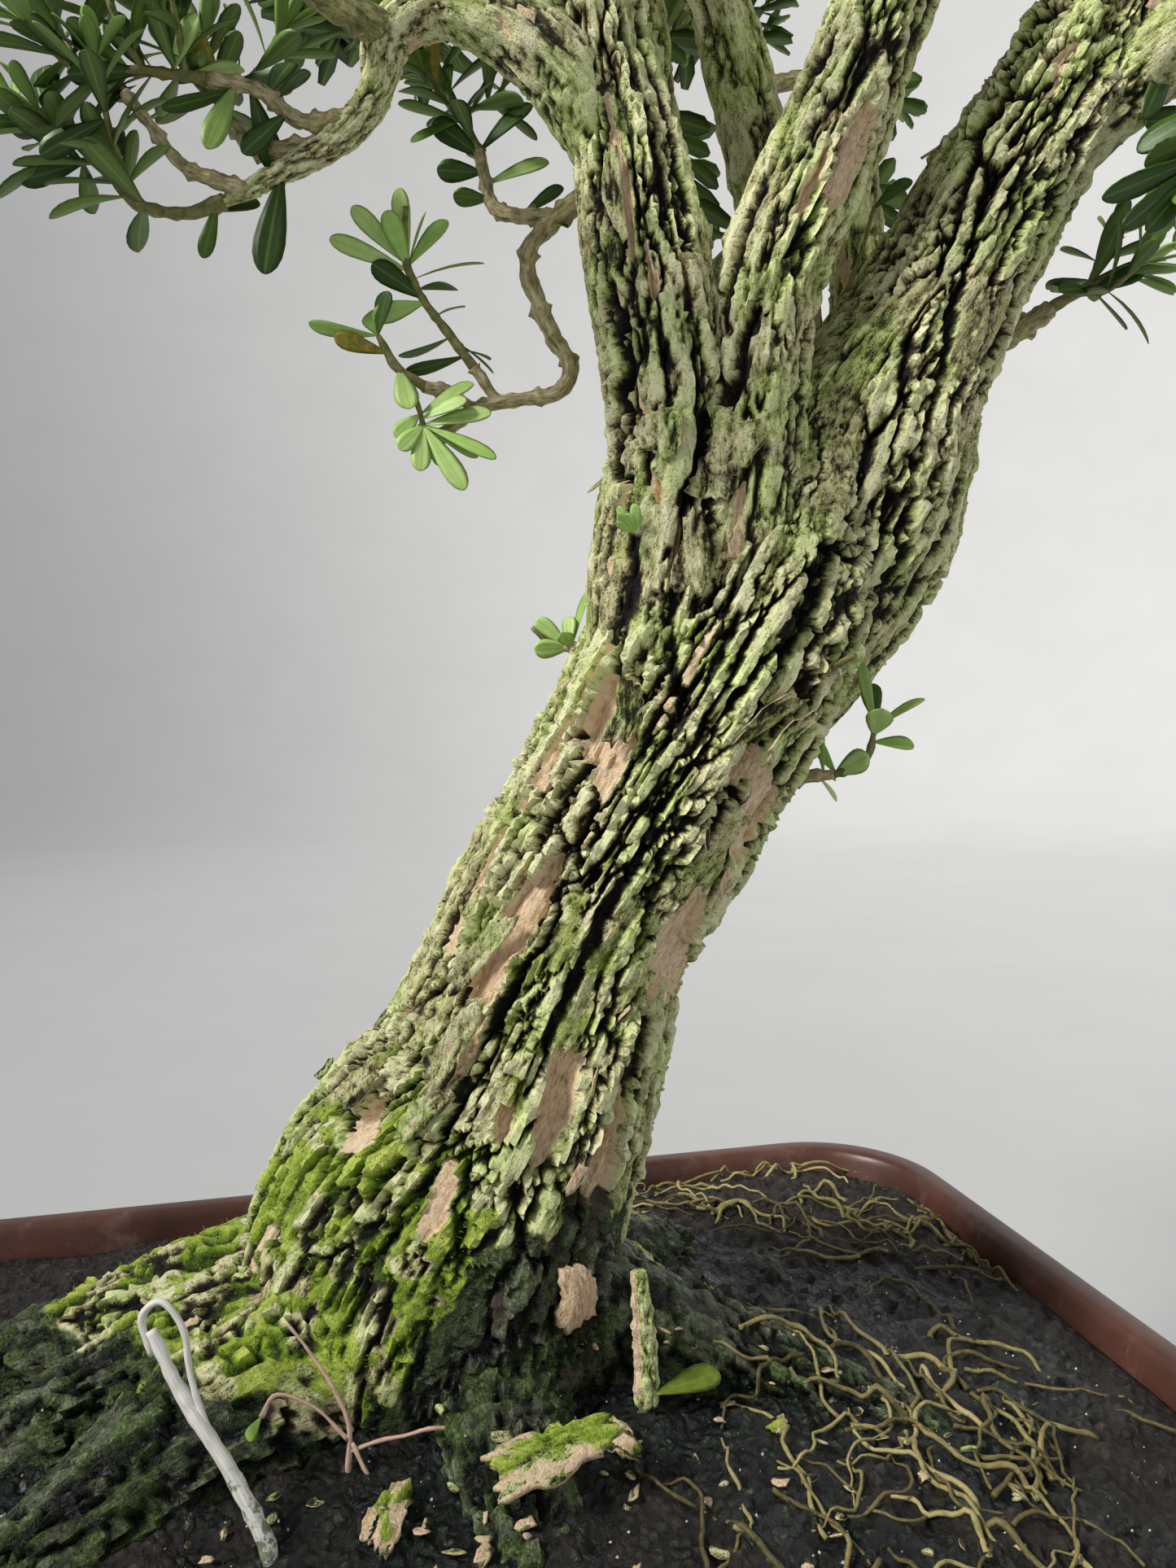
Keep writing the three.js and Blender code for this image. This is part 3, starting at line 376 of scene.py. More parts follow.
def soil_height(x, y):
    """Height of the soil: a level edge, one broad mound and a low one in the back right corner,
    both falling off like bells, and shallow waves over all."""
    height, at_x, at_y, reach_x, reach_y = MOUND
    mound = height * np.exp(-(np.hypot((x - at_x) / reach_x, (y - at_y) / reach_y) ** 2.4))
    height, at_x, at_y, reach_x, reach_y = CORNER_MOUND
    corner = height * np.exp(-(((x - at_x) / reach_x) ** 2) - ((y - at_y) / reach_y) ** 2)
    waves = 0.9 * np.sin(x / 17 + 1.3) * np.cos(y / 14) + 0.6 * np.sin(x / 9 - y / 11)
    return SOIL_EDGE + mound + corner + waves


def rough(place, size, seed):
    """Smooth noise from -1 to 1: the corners of a lattice with cells of that size hold drawn
    values, and a point takes the eased mean of the eight corners round it."""
    cell = place / size
    low = np.floor(cell).astype(np.int64)
    share = cell - low
    ease = share * share * (3 - 2 * share)
    drawn = np.random.default_rng(seed).uniform(-1, 1, NOISE_VALUES)
    total = np.zeros(cell.shape[:-1])
    for corner in itertools.product((0, 1), repeat=3):
        key = np.bitwise_xor.reduce((low + corner) * NOISE_KEYS, -1)
        value = drawn[key & (NOISE_VALUES - 1)]
        total += value * np.where(np.array(corner) == 1, ease, 1 - ease).prod(-1)
    return total


def rougher(place, size, seed, layers=3, share=0.5):
    """Several layers of noise, each at half the size and a share of the height of the last."""
    return sum(share**k * rough(place, size / 2**k, seed + k) for k in range(layers))


def climb(value, low, high):
    """0 below low and 1 above high, with an eased climb between them."""
    share = np.clip((value - low) / (high - low), 0, 1)
    return share * share * (3 - 2 * share)


half = np.array([POT_LENGTH / 2, POT_WIDTH / 2]) - SOIL_INSET
columns, lines = (2 * half / SOIL_STEP).astype(int)
flat = np.stack(
    np.meshgrid(np.linspace(-half[0], half[0], columns), np.linspace(-half[1], half[1], lines)), -1
)
# in a corner, the square of grid points is drawn in to a quarter circle
past = np.maximum(np.abs(flat) - (half - corner_radius(SOIL_INSET)), 0)
drawn_in = past.max(-1) / np.maximum(np.hypot(past[..., 0], past[..., 1]), 1e-6)
drawn_in = np.where((past > 0).all(-1), drawn_in, 1)[..., None]
soil_xy = np.sign(flat) * (np.abs(flat) - past * (1 - drawn_in))
soil_x, soil_y = soil_xy[..., 0], soil_xy[..., 1]
flat_place = np.stack([soil_x, soil_y, 0 * soil_x], -1)
lumps, crumbs = rougher(flat_place, 11, 50, 2), rougher(flat_place, 5.2, 51, 3, 0.75)
edge_fade = climb((half - np.abs(flat)).min(-1), 0, EDGE_BAND)
soil_z = soil_height(soil_x, soil_y) + edge_fade * (1.6 * lumps + 2.1 * np.abs(crumbs) - 0.9)
soil_z -= EDGE_DROP * (1 - edge_fade)
at_x, at_y, reach_x, reach_y = MOSS_FILM
film_reach = np.hypot((soil_x - at_x) / reach_x, (soil_y - at_y) / reach_y)
film_spread = climb(1.25 - film_reach + 0.35 * rougher(flat_place, 26, 52, 2), 0, 0.5)
soil_grid = np.stack([soil_x, soil_y, soil_z], -1).reshape(-1, 3)
knots = np.arange(lines * columns).reshape(lines, columns)
border = np.concatenate([knots[0], knots[1:, -1], knots[-1, -2::-1], knots[-2:0:-1, 0]])
rim = soil_grid[border, :2] * ((half - SOIL_FOOT_INSET) / half)
foot = np.column_stack([rim, np.full(len(rim), POT_FLOOR + SOIL_GAP)])
cell = knots[:-1, :-1].ravel()
top_faces = np.stack([cell, cell + 1, cell + columns + 1, cell + columns], -1)
lower = knots.size + np.arange(len(border))
side_faces = np.stack([border, lower, np.roll(lower, -1), np.roll(border, -1)], -1)
soil_marks = {
    "film": np.concatenate([film_spread.ravel(), 0 * border]),
    "crumb": np.concatenate([(np.abs(crumbs) + 0.3 * lumps).ravel(), 0 * border]),
}


def wet_soil(wire):
    """Near-black wet crumbs, brown where they dry out, with blue-green film that glints: it is
    smooth, and its palest spots are painted glints.
    """
    place = wire.place()
    fine = place.grain(420, 6, roughness=0.7)
    crumbled = 1 - place.spots(330).between(0.15, 0.75)
    fibre = place.grain(900, 4, (1, 0.25, 1)).between(0.56, 0.7)
    patch = place.grain(38, 4)
    film = wire.mark("film") * (patch + fine * 0.4).between(0.5, 0.72)
    earth = (fine * 0.6 + wire.mark("crumb") * 0.2 + crumbled * 0.15).ramp(
        (0.25, 11, 9, 8), (0.48, 34, 27, 24), (0.68, 66, 53, 44), (0.9, 118, 98, 78)
    )
    earth = (fibre * 0.5 * patch.between(0.45, 0.6)).mix(earth, tone(98, 78, 54))
    # the film's colours; its palest stop is painted glints, blue-grey highlights on the wet film
    algae_and_painted_glints = (fine * 0.8 + crumbled * 0.2).ramp(
        (0.32, 5, 7, 8), (0.5, 13, 20, 20), (0.62, 30, 46, 38), (0.72, 84, 108, 64),
        (0.84, 150, 162, 170),
    )
    speck = (1 - place.spots(520).between(0.1, 0.16)) * place.grain(90, 2).between(0.62, 0.68)
    relief = fine * 0.6 + crumbled * 0.5 + place.grain(1500, 3) * 0.25
    return {
        "Base Color": (speck * 0.6).mix(film.mix(earth, algae_and_painted_glints), tone(170, 164, 140)),
        "Roughness": 0.64 - film * 0.46 + (fine - 0.5) * 0.6,
        "Normal": relief.bump(1.0, 0.0024),
    }


soil_faces = [top_faces, side_faces, lower[None, ::-1]]
soil_finish = new_finish("wet_peaty_soil", wet_soil)
soil_points = np.concatenate([soil_grid, foot])
fit(new_piece("soil_crust", soil_points, soil_faces, soil_finish, soil_marks), "soil", "soil")

# ------------------------------------------------------------------------------
# Trunk
# The old trunk, one living piece with its roots and limbs. Its corky bark has split into long
# plates with deep fissures between them; pale lichen covers their tops, bare tan wood shows
# where some have dropped off, and bright moss creeps up from the foot.

# like every stem, a list of rows [x, y, z, radius]
TRUNK = [
    [-5, 5, 100, 50], [-5, 6, 128, 58], [2, 5, 158, 53], [19, 0, 192, 41], [27, -2, 215, 37],
    [36, -4, 240, 35], [52, -8, 271, 35.5], [69, -12, 304, 37], [84, -14, 334, 35],
    [98, -16, 370, 24], [112, -18, 402, 10],
]


def unit(ways):
    """The same ways, each with a length of 1."""
    return ways / np.linalg.norm(ways, axis=-1, keepdims=True)


def smooth_chain(rows, steps=40):
    """A curve through rows of numbers. Between two rows runs a cubic whose slopes at its ends come
    from the rows round them, spaced by the square root of their distances in x, y and z."""
    rows = np.array(rows, float)
    before, after = 2 * rows[:1] - rows[1:2], 2 * rows[-1:] - rows[-2:-1]
    knots = np.concatenate([before, rows, after])
    gap = np.linalg.norm(np.diff(knots[:, :3], axis=0), axis=1) ** 0.5
    gap = np.maximum(gap, 1e-3)[:, None]
    a, b, c, d = knots[:-3], knots[1:-2], knots[2:-1], knots[3:]
    ga, gb, gc = gap[:-2], gap[1:-1], gap[2:]
    slope_b = ((b - a) / ga - (c - a) / (ga + gb) + (c - b) / gb) * gb
    slope_c = ((c - b) / gb - (d - b) / (gb + gc) + (d - c) / gc) * gb
    t = (np.arange(steps) / steps)[None, :, None]
    b, c, slope_b, slope_c = b[:, None], c[:, None], slope_b[:, None], slope_c[:, None]
    curve = b + slope_b * t + (3 * (c - b) - 2 * slope_b - slope_c) * t**2
    curve = curve + (2 * (b - c) + slope_b + slope_c) * t**3
    return np.concatenate([curve.reshape(-1, rows.shape[1]), rows[-1:]])


def run_along(chain):
    """The length of a chain up to each of its points."""
    return np.cumsum(np.linalg.norm(np.diff(chain[:, :3], axis=0, prepend=chain[:1, :3]), axis=1))


def place_at(wanted, travelled, chain):
    """The places of a chain at wanted lengths along it."""
    return np.stack([np.interp(wanted, travelled, column) for column in chain.T], -1)


def path_along(rows, count, span=(0, 1)):
    """Equal steps along the curve through a stem's rows, with a frame that is carried along it
    without twist. Gives share, middle, radius, length so far, ahead, across and beyond."""
    chain = smooth_chain(rows)
    travelled = run_along(chain)
    share = np.linspace(span[0], span[1], count)
    wanted = share * travelled[-1]
    even = place_at(wanted, travelled, chain)
    ahead = unit(np.gradient(even[:, :3], axis=0))
    level = np.eye(3)[np.argmin(np.abs(ahead[0]))]
    across = np.cross(ahead[0], unit(np.cross(ahead[0], level)))
    carried = []
    for direction in ahead:
        across = unit(across - direction * (across @ direction))
        carried.append(across)
    across = np.array(carried)
    return share, even[:, :3], even[:, 3:], wanted, ahead, across, np.cross(ahead, across)


def way_round(across, beyond, angle):
    """The way at an angle from across towards beyond, for each ring and side."""
    return across[:, None] * np.cos(angle)[..., None] + beyond[:, None] * np.sin(angle)[..., None]


def barrel(radius, angle, along):
    """A stem's skin with its middle laid straight along z."""
    return np.stack([radius * np.cos(angle), radius * np.sin(angle), along], -1)


def slopes(field, step_round, step_along):
    """How much a field on a stem's skin climbs a mm, round the stem and along it."""
    slope_round = (np.roll(field, -1, 1) - np.roll(field, 1, 1)) / (2 * step_round)
    return slope_round, np.gradient(field, axis=0) / step_along


def to_line(field, step_round, step_along):
    """Signed distance in mm from the line on which a field on a stem's skin is zero: the field
    divided by its slope."""
    return field / (np.hypot(*slopes(field, step_round, step_along)) + 0.05)


def softened(values, times):
    """The mean of a skin's values round each point, three steps wide, taken several times."""
    for _ in range(times):
        values = 0.25 * np.roll(values, 1, 1) + 0.5 * values + 0.25 * np.roll(values, -1, 1)
        padded = np.concatenate([values[:1], values, values[-1:]])
        values = 0.25 * padded[:-2] + 0.5 * values + 0.25 * padded[2:]
    return values


# Where bare wood shows in the picture: column, row, half length, half width, lean from upright in
# degrees to the right, and how deep the flake was that dropped off
BARE_MARKS = [
    [640, 1120, 78, 17, 27, 3], [590, 1205, 48, 15, 42, 3.5], [690, 1362, 72, 26, 24, 2.5],
    [616, 1398, 24, 10, 10, 2], [838, 1190, 70, 26, 20, 1.5], [748, 905, 62, 24, 12, 1.5],
    [905, 958, 34, 18, 40, 2], [826, 672, 48, 14, 12, 3.5], [806, 608, 22, 10, -20, 1.5],
    [443, 1380, 32, 20, 30, 2], [541, 1462, 42, 16, 24, 1], [742, 1440, 90, 12, 14, 1.5],
    [905, 620, 26, 9, 8, 1.5], [1000, 215, 42, 10, 24, 2.5], [1052, 190, 62, 16, 20, 2],
    [990, 410, 40, 9, 22, 1.5], [802, 325, 44, 8, -8, 2], [760, 205, 90, 8, -8, 2.5],
    [927, 1020, 50, 12, 24, 1.2], [505, 1235, 22, 8, 55, 1.5], [985, 735, 14, 8, 20, 1],
]
# Deep fissures: half width in pixels, depth in mm, then columns and rows that they run through
FISSURES = [
    [7, 6, (840, 860), (822, 780), (822, 700), (838, 620), (868, 545), (893, 470)],
    [6, 5, (705, 1060), (722, 1000), (745, 950), (770, 905), (788, 860), (790, 800)],
    [5, 4, (765, 850), (768, 780), (780, 710), (786, 660)],
    [6, 5, (640, 1340), (690, 1240), (735, 1140), (790, 1050), (840, 970), (905, 900)],
    [5, 5, (560, 1360), (600, 1270), (640, 1185), (668, 1110), (700, 1040)],
    [5, 4, (745, 1290), (765, 1200), (800, 1120), (850, 1040)],
    [5, 4, (540, 1390), (590, 1330), (610, 1260)],
    [6, 5, (930, 880), (975, 800), (1010, 700), (1060, 600), (1090, 520), (1120, 430)],
    [5, 4, (1000, 800), (1060, 700), (1110, 610), (1150, 500), (1175, 400), (1200, 290)],
    [6, 6, (900, 470), (925, 400), (965, 330), (1005, 260), (1040, 170)],
    [6, 6, (1200, 265), (1213, 230), (1216, 195)],
    [5, 4, (770, 520), (762, 440), (756, 350), (748, 250), (742, 150), (735, 50)],
    [4, 3, (815, 500), (812, 420), (800, 340), (782, 240), (765, 140), (742, 50)],
    [5, 4, (1150, 330), (1180, 240), (1215, 150), (1260, 70), (1290, 0)],
    [5, 4, (860, 1010), (885, 960), (930, 915), (975, 880)],
    [6, 5, (560, 1560), (575, 1480), (600, 1420), (650, 1380)],
    [5, 4, (420, 1640), (455, 1560), (500, 1490), (530, 1420)],
    [5, 4, (700, 1500), (745, 1400), (770, 1330), (790, 1250)],
]
# Below this line of the picture, given by columns and rows, bark and moss are black with water
WET_COLUMNS = [-200, 0, 150, 270, 400, 480, 540, 600, 700, 790, 850, 1000, 1600]
WET_ROWS = [1585, 1600, 1625, 1680, 1730, 1700, 1600, 1505, 1480, 1440, 1480, 1560, 1600]


def distance_to_chain(column, row, points):
    """Distance of picture places to the nearest point of a chain of straight stretches."""
    least = np.inf
    for (ax, ay), (bx, by) in zip(points[:-1], points[1:]):
        sx, sy = bx - ax, by - ay
        share = np.clip(((column - ax) * sx + (row - ay) * sy) / (sx * sx + sy * sy), 0, 1)
        least = np.minimum(least, np.hypot(column - ax - share * sx, row - ay - share * sy))
    return least


def opened_bark(column, row, faced, wander, sway, tear):
    """What the picture shows of the bark: how bare it is, the depth of its dropped flakes and the
    depth of its clefts. Marks are ellipses and clefts are chains, both frayed by noise."""
    bare = flake = cleft = 0 * column
    for mark_column, mark_row, long_half, wide_half, lean, deep in BARE_MARKS:
        right, down = column - mark_column, row - mark_row
        s, c = math.sin(math.radians(lean)), math.cos(math.radians(lean))
        up = (right * s - down * c + 15 * sway) / long_half
        side = (right * c + down * s + 8 * wander) / wide_half
        inside = climb(1.1 - np.hypot(up, side) + 0.6 * tear, 0, 0.3) * faced
        bare, flake = np.maximum(bare, inside), np.maximum(flake, inside * deep)
    for wide, deep, *points in FISSURES:
        far = distance_to_chain(column + 9 * wander, row + 9 * sway, points)
        opened = wide * (1.2 + 0.9 * sway)
        cleft = np.maximum(cleft, deep * climb(opened * 1.5 - far, 0, opened * 1.1) * faced)
    return bare, flake, cleft


def bark_skin(rows, sides, count, form, plate, seed, span=(0, 1), fades=(4, 6)):
    """The skin of a stem with split bark. form is (broad waves, ridges, twist, height) and plate
    is (width, length, depth) of the plates in mm. The radius at each angle and share is the
    stem's own, plus waves and ridges, plus layers of cork: noise that is drawn out along the stem
    is zero on long ragged lines, and at each line the cork drops by a step or opens a fissure."""
    share, middle, extra, travelled, ahead, across, beyond = path_along(rows, count, span)
    waves, ridges, twist, height = form
    width, length, depth = plate
    angle = turns(sides)[None, :] + 0 * share[:, None]
    share, along = share[:, None], travelled[:, None] + 0 * angle
    radius = 0.25 * np.roll(extra, 1, 0) + 0.5 * extra + 0.25 * np.roll(extra, -1, 0)
    radius[[0, -1]] = extra[[0, -1]]
    fade = np.minimum(1, np.minimum(fades[0] * share, fades[1] * (1 - share)))
    thin = climb(radius / depth, 0.8, 2.6)
    turned = angle + twist * share
    outward, around = way_round(across, beyond, turned), way_round(beyond, -across, turned)
    step = 2 * math.pi * radius / sides, (travelled[-1] - travelled[0]) / (count - 1)

    broad = 0.45 * np.sin(waves * angle + 2.1 * seed + 1.5 * share)
    ridge = np.round(angle * ridges / (2 * math.pi))
    broken = 0.55 + 0.45 * np.sin(19 * share + 2.4 * ridge + seed)
    skin = radius + height * fade * (broad + 0.45 * np.cos(ridges * angle) * broken)
    plain = middle[:, None] + outward * skin[..., None]

    straight = barrel(radius, angle, along)

    def noise(number, size, layers=1, share=0.5, drawn=1.0, place=straight):
        """Layers of noise on the straightened skin, drawn out along the stem."""
        return rougher(place / [1, 1, drawn], size, seed + number, layers, share)

    wander, sway = noise(90, 9, 4, 0.6, 1.6), noise(80, 9, 4, 0.6, 1.6)
    bent = straight + np.stack([1.6 * wander, 1.6 * sway, 0 * sway], -1)
    drawn_out = bent / [1, 1, length / width]
    tear = noise(51, 0.9 * width, 5, 0.62, place=drawn_out)
    column, row = seen_at(plain)
    faced = climb(((plain - CAMERA_PLACE) * outward).sum(-1) * -1, 0, 30)
    bare, flake, cleft = opened_bark(column, row, faced, wander, sway, tear)

    # plates break along lines of three sizes, and across them
    big = to_line(noise(1, width, 4, 0.55, place=drawn_out), *step)
    second = to_line(noise(11, 0.62 * width, 4, 0.55, place=drawn_out) + 0.1, *step)
    third = to_line(noise(21, 0.36 * width, 3, 0.6, place=drawn_out) - 0.1, *step)
    cross = to_line(noise(31, 0.9 * width, 4, 0.6, place=bent / [2.2, 2.2, 1]), *step)
    opening = np.clip(0.55 + 1.5 * noise(41, 2.2 * width, drawn=2), 0, 1.7)
    narrow = np.clip(0.3 + 1.3 * noise(42, 1.5 * width, drawn=2), 0, 1.1)
    gap = 1 - climb(np.abs(big), 0.35 * opening, 0.5 + 1.5 * opening)
    crease = 1 - climb(np.abs(second), 0.2 * narrow, 0.4 + 0.9 * narrow)
    crease = crease * climb(narrow, 0, 0.3)
    snap = (1 - climb(np.abs(cross), 0.1, 0.8)) * climb(noise(43, 2.4 * width), 0.1, 0.5)
    fissure = np.clip(gap * climb(opening, 0, 0.4) + 0.55 * crease + 0.3 * snap, 0, 1)

    # the cork steps up past each line, curls at its edges and is furrowed on top
    steps = 0.5 * climb(big, -0.3, 0.35) + 0.32 * climb(second, -0.3, 0.3)
    steps = steps + 0.18 * climb(third, -0.25, 0.3) + 0.16 * climb(cross, -0.25, 0.3)
    lip, fine_lip = (
        climb(line, 0.1, rise) * (1 - climb(line, rise + 0.1, fall))
        for line, rise, fall in ((big, 0.5, 2.6), (second, 0.4, 1.8))
    )
    curl = lip * climb(noise(44, 1.7 * width), 0, 0.4) + 0.6 * fine_lip * climb(opening, 0.8, 1.2)
    furrow = np.abs(noise(46, 2.2, drawn=9, place=bent))
    furrow = furrow + 0.7 * np.abs(noise(47, 1.2, drawn=7, place=bent))
    gone = climb(noise(49, 1.25 * width, place=drawn_out), 0.62, 0.68) * climb(steps, 0.5, 0.7)
    worn = np.clip(bare + gone * (1 - climb(cleft, 0, 1)), 0, 1)
    swollen, grit = noise(45, 1.6 * width, place=drawn_out), noise(48, 1.9, 2, 0.8, 1.8)
    top = depth * (0.62 * steps + 0.16 * swollen + 0.2 * curl - 0.75 * fissure)
    top = top + (0.45 - 0.62 * furrow + 0.24 * grit) * (1 - 0.5 * fissure)
    sunk = 0.75 * noise(8, 5, 3, 0.6, 4) - 0.35 * np.abs(noise(9, 3, drawn=6))
    relief = top * (1 - worn) + sunk * worn - 0.32 * depth - flake * 0.75
    relief = relief - cleft * (1 - 0.5 * bare) * 0.7

    # moss and water, both from the ground up
    x, z = plain[..., 0], plain[..., 2]
    damp = climb(158 + 42 * rough(plain, 34, 70) - z - 0.25 * x, 0, 42)
    bright = climb(1.15 - np.hypot((column - 430) / 215, (row - 1555) / 190), 0, 0.5) * faced
    tuft = rougher(plain, 9, 71, 3, 0.6)
    creep = climb(tuft + 0.9 * (0.5 - steps) + 1.1 * climb(330 - z, 0, 190) - 0.75, 0, 0.5)
    moss = damp * (0.35 + 0.9 * tuft) + bright * (0.45 + 0.8 * tuft) + 0.5 * creep
    moss = np.clip(moss - 0.25 * climb(steps, 0.6, 1.0), 0, 1) * (1 - 0.92 * bare)
    wet = climb(124 + 12 * rough(plain, 22, 72) + 0.12 * np.abs(x) - z, 0, 16)
    soaked = climb(row - np.interp(column, WET_COLUMNS, WET_ROWS) + 36 * tuft, 0, 50) * faced
    wet = np.maximum(wet * (1 - bright), soaked * climb(190 - z, 0, 20))
    relief = relief + 0.75 * moss * (0.5 + rough(plain, 1.7, 73))
    relief = (relief + 0.7 * wet * rougher(plain, 3.4, 74, 2, 0.7)) * fade * (0.12 + 0.88 * thin)

    # plates overhang: where the relief is steep, their tops lean out over the fissure
    slope_round, slope_along = slopes(relief, *step)
    overhang = 0.32 * np.clip(climb(steps, 0.1, 0.6) * fade * thin, 0, 1)
    place = middle[:, None] + outward * (skin + relief)[..., None]
    place = place - around * (overhang * np.clip(slope_round, -1.5, 1.5))[..., None]
    place = place - ahead[:, None] * (overhang * np.clip(slope_along, -1.2, 1.2))[..., None]
    # crest: how far the bark stands out round it; its low points, the cracks, are coloured
    # near-black as painted shade
    stands_out = (relief - softened(relief, 14)) / (0.42 * depth)
    crest = np.clip(0.6 + 0.55 * stands_out - 0.35 * fissure - 0.1 * cleft, 0, 1)
    crest = crest + (1 - climb(radius, 6, 18)) * (0.5 + 0.45 * crest - crest)
    marks = {
        "crest": crest * thin + (1 - thin) * (0.62 + 0.2 * furrow),
        "bare": worn,
        "moss": moss * thin,
        "wet": wet,
        "grain": straight / 1000,
    }
    return place, marks


def stem_faces(count, sides):
    """The faces of a stem: quads between its rings, and a fan round one more point at each end."""
    ring = np.arange(sides)
    last = (count - 1) * sides + ring
    first_fan = np.stack([np.full(sides, count * sides), np.roll(ring, -1), ring], -1)
    last_fan = np.stack([np.full(sides, count * sides + 1), last, np.roll(last, -1)], -1)
    return [ring_faces(count, sides), first_fan, last_fan]


def with_ends(values):
    """A stem's values in one row, with the means of the first and the last ring after them."""
    flat = values.reshape(-1, *values.shape[2:])
    return np.concatenate([flat, values[[0, -1]].mean(1)])


def bark_piece(name, rings, marks, slot="bark", node="trunk_and_branches"):
    """A stem with its bark, as a piece."""
    marks = {mark: with_ends(values) for mark, values in marks.items()}
    piece = new_piece(name, with_ends(rings), stem_faces(*rings.shape[:2]), bark_finish, marks)
    piece.data.set_sharp_from_angle(angle=math.radians(30))
    fit(piece, slot, node)


def lichen_bark(wire):
    """Grey-brown cork in the cracks, near-black at their bottom as painted shade, yellow-green and
    grey lichen on the plates, tan wood where bare, and moss and a wet black film towards the
    ground, whose palest spots are painted glints."""
    grain, place = wire.mark("grain", 1), wire.place()
    crest, bare, moss, wet = wire.marks("crest", "bare", "moss", "wet")
    fibre, flecks = grain.grain(1300, 4, (1, 1, 0.22), 0.6), grain.grain(820, 5, (1, 1, 0.6), 0.68)
    cloud, patch = place.grain(52, 4), place.grain(170, 4, roughness=0.6)
    pits = 1 - grain.spots(1150).between(0.1, 0.34)
    strokes = grain.grain(560, 5, (1, 1, 0.28), 0.74).between(0.52, 0.63)
    height = crest + (flecks - 0.5) * 0.85 + (fibre - 0.5) * 0.45 - pits * 0.22 - strokes * 0.2
    # each ramp runs to near-black where height is low, in the cracks: darker cork there, deepened
    # into painted shade
    cork = height.ramp(
        (0.12, 13, 11, 8), (0.34, 54, 45, 31), (0.48, 122, 112, 80), (0.64, 188, 184, 132),
        (0.9, 232, 232, 188),
    )
    green = height.ramp(
        (0.15, 14, 16, 8), (0.36, 66, 78, 36), (0.58, 158, 180, 92), (0.88, 220, 232, 160)
    )
    warm = height.ramp(
        (0.15, 22, 15, 9), (0.42, 98, 74, 50), (0.7, 180, 152, 112), (1, 222, 202, 164)
    )
    colour = (cloud.between(0.42, 0.62) * 0.75 + patch.between(0.5, 0.68) * 0.25).mix(cork, green)
    colour = (patch.between(0.56, 0.7) * cloud.between(0.62, 0.42) * 0.65).mix(colour, warm)
    dots = (1 - grain.spots(900).between(0.16, 0.26)) * patch.between(0.45, 0.6) * crest
    colour = (dots * 0.55).mix(colour, tone(70, 72, 48))
    wood = (fibre * 0.55 + flecks * 0.3 + cloud * 0.15).ramp(
        (0.32, 138, 104, 76), (0.42, 206, 172, 136), (0.54, 236, 212, 178), (0.7, 252, 242, 220)
    )
    worn = bare + (flecks - 0.5) * 0.4
    edge = worn.between(0.3, 0.42)
    colour = edge.mix(colour, worn.between(0.66, 0.9).mix(tone(232, 212, 172), wood))
    fluff = place.grain(900, 4, roughness=0.7)
    pile = (fluff * 0.5 + crest * 0.42 + (cloud - 0.5) * 0.4).ramp(
        (0.2, 26, 34, 10), (0.36, 82, 108, 26), (0.52, 146, 176, 44), (0.72, 208, 222, 102)
    )
    moss_edge = (moss + (fluff - 0.5) * 0.55 + (patch - 0.5) * 0.5).between(0.36, 0.7)
    # the wet black film; its palest stop is painted glints, blue-grey highlights where it is wet
    film = (fluff * 0.7 + crest * 0.3).ramp(
        (0.3, 4, 6, 6), (0.48, 13, 21, 20), (0.6, 30, 50, 40), (0.7, 86, 112, 62),
        (0.82, 160, 172, 178),
    )
    film_edge = (wet + (patch - 0.5) * 0.7).between(0.4, 0.7)
    relief = fibre * 0.55 + flecks * 0.7 - pits * 0.25 - strokes * 0.35 * (1 - edge)
    return {
        "Base Color": (film_edge * 0.9).mix((moss_edge * 0.92).mix(colour, pile), film),
        "Roughness": 0.88 - edge * 0.12 - film_edge * 0.62 + (fluff - 0.5) * 0.45,
        "Normal": (relief + fluff * moss_edge * 0.9).bump(0.9, 0.0011),
        "Specular IOR Level": 0.4,
    }


bark_finish = new_finish("corky_lichen_bark", lichen_bark)
form, plate = (3, 12, 0.7, 3.4), (8.5, 72, 5.8)
skin = bark_skin(TRUNK, sides=280, count=330, form=form, plate=plate, seed=1, span=(0.03, 1))
bark_piece("trunk_bark", *skin)

# ------------------------------------------------------------------------------
# Columns and limbs
# Above the fork the trunk goes on as two thick columns, a middle limb between them and four thinner
# limbs behind and to the front. They are the same wood and bark, with shallower fissures.
LEFT_COLUMN = [
    [50, -14, 285, 15], [56, -19, 336, 20], [60, -20, 364, 19.5], [58, -19, 391, 18.5],
    [53, -17, 418, 18], [48, -15, 446, 16], [42, -12, 473, 13.5], [36, -10, 505, 12],
    [24, -10, 548, 10], [18, -8, 592, 7.5], [24, -4, 640, 1.8],
]
RIGHT_COLUMN = [
    [72, -10, 285, 20], [103, -10, 336, 30], [115, -13, 364, 31.5], [124, -16, 391, 27],
    [137, -20, 415, 22], [152, -24, 445, 20], [170, -29, 476, 18.5], [187, -34, 507, 16],
    [208, -42, 552, 12], [222, -44, 600, 8], [226, -36, 640, 1.8],
]
MIDDLE_LIMB = [
    [70, -24, 310, 10], [77, -31, 350, 12.5], [78, -31, 384, 13], [83, -28, 416, 13],
    [95, -28, 445, 14], [105, -31, 470, 13.5], [115, -34, 496, 12.5], [128, -40, 548, 10],
    [134, -38, 606, 7], [136, -30, 660, 1.8],
]
LEFT_BACK_LIMB = [
    [60, -10, 400, 9], [58, 2, 450, 10.5], [56, 12, 505, 9.5], [50, 34, 560, 7], [58, 52, 615, 1.8],
]
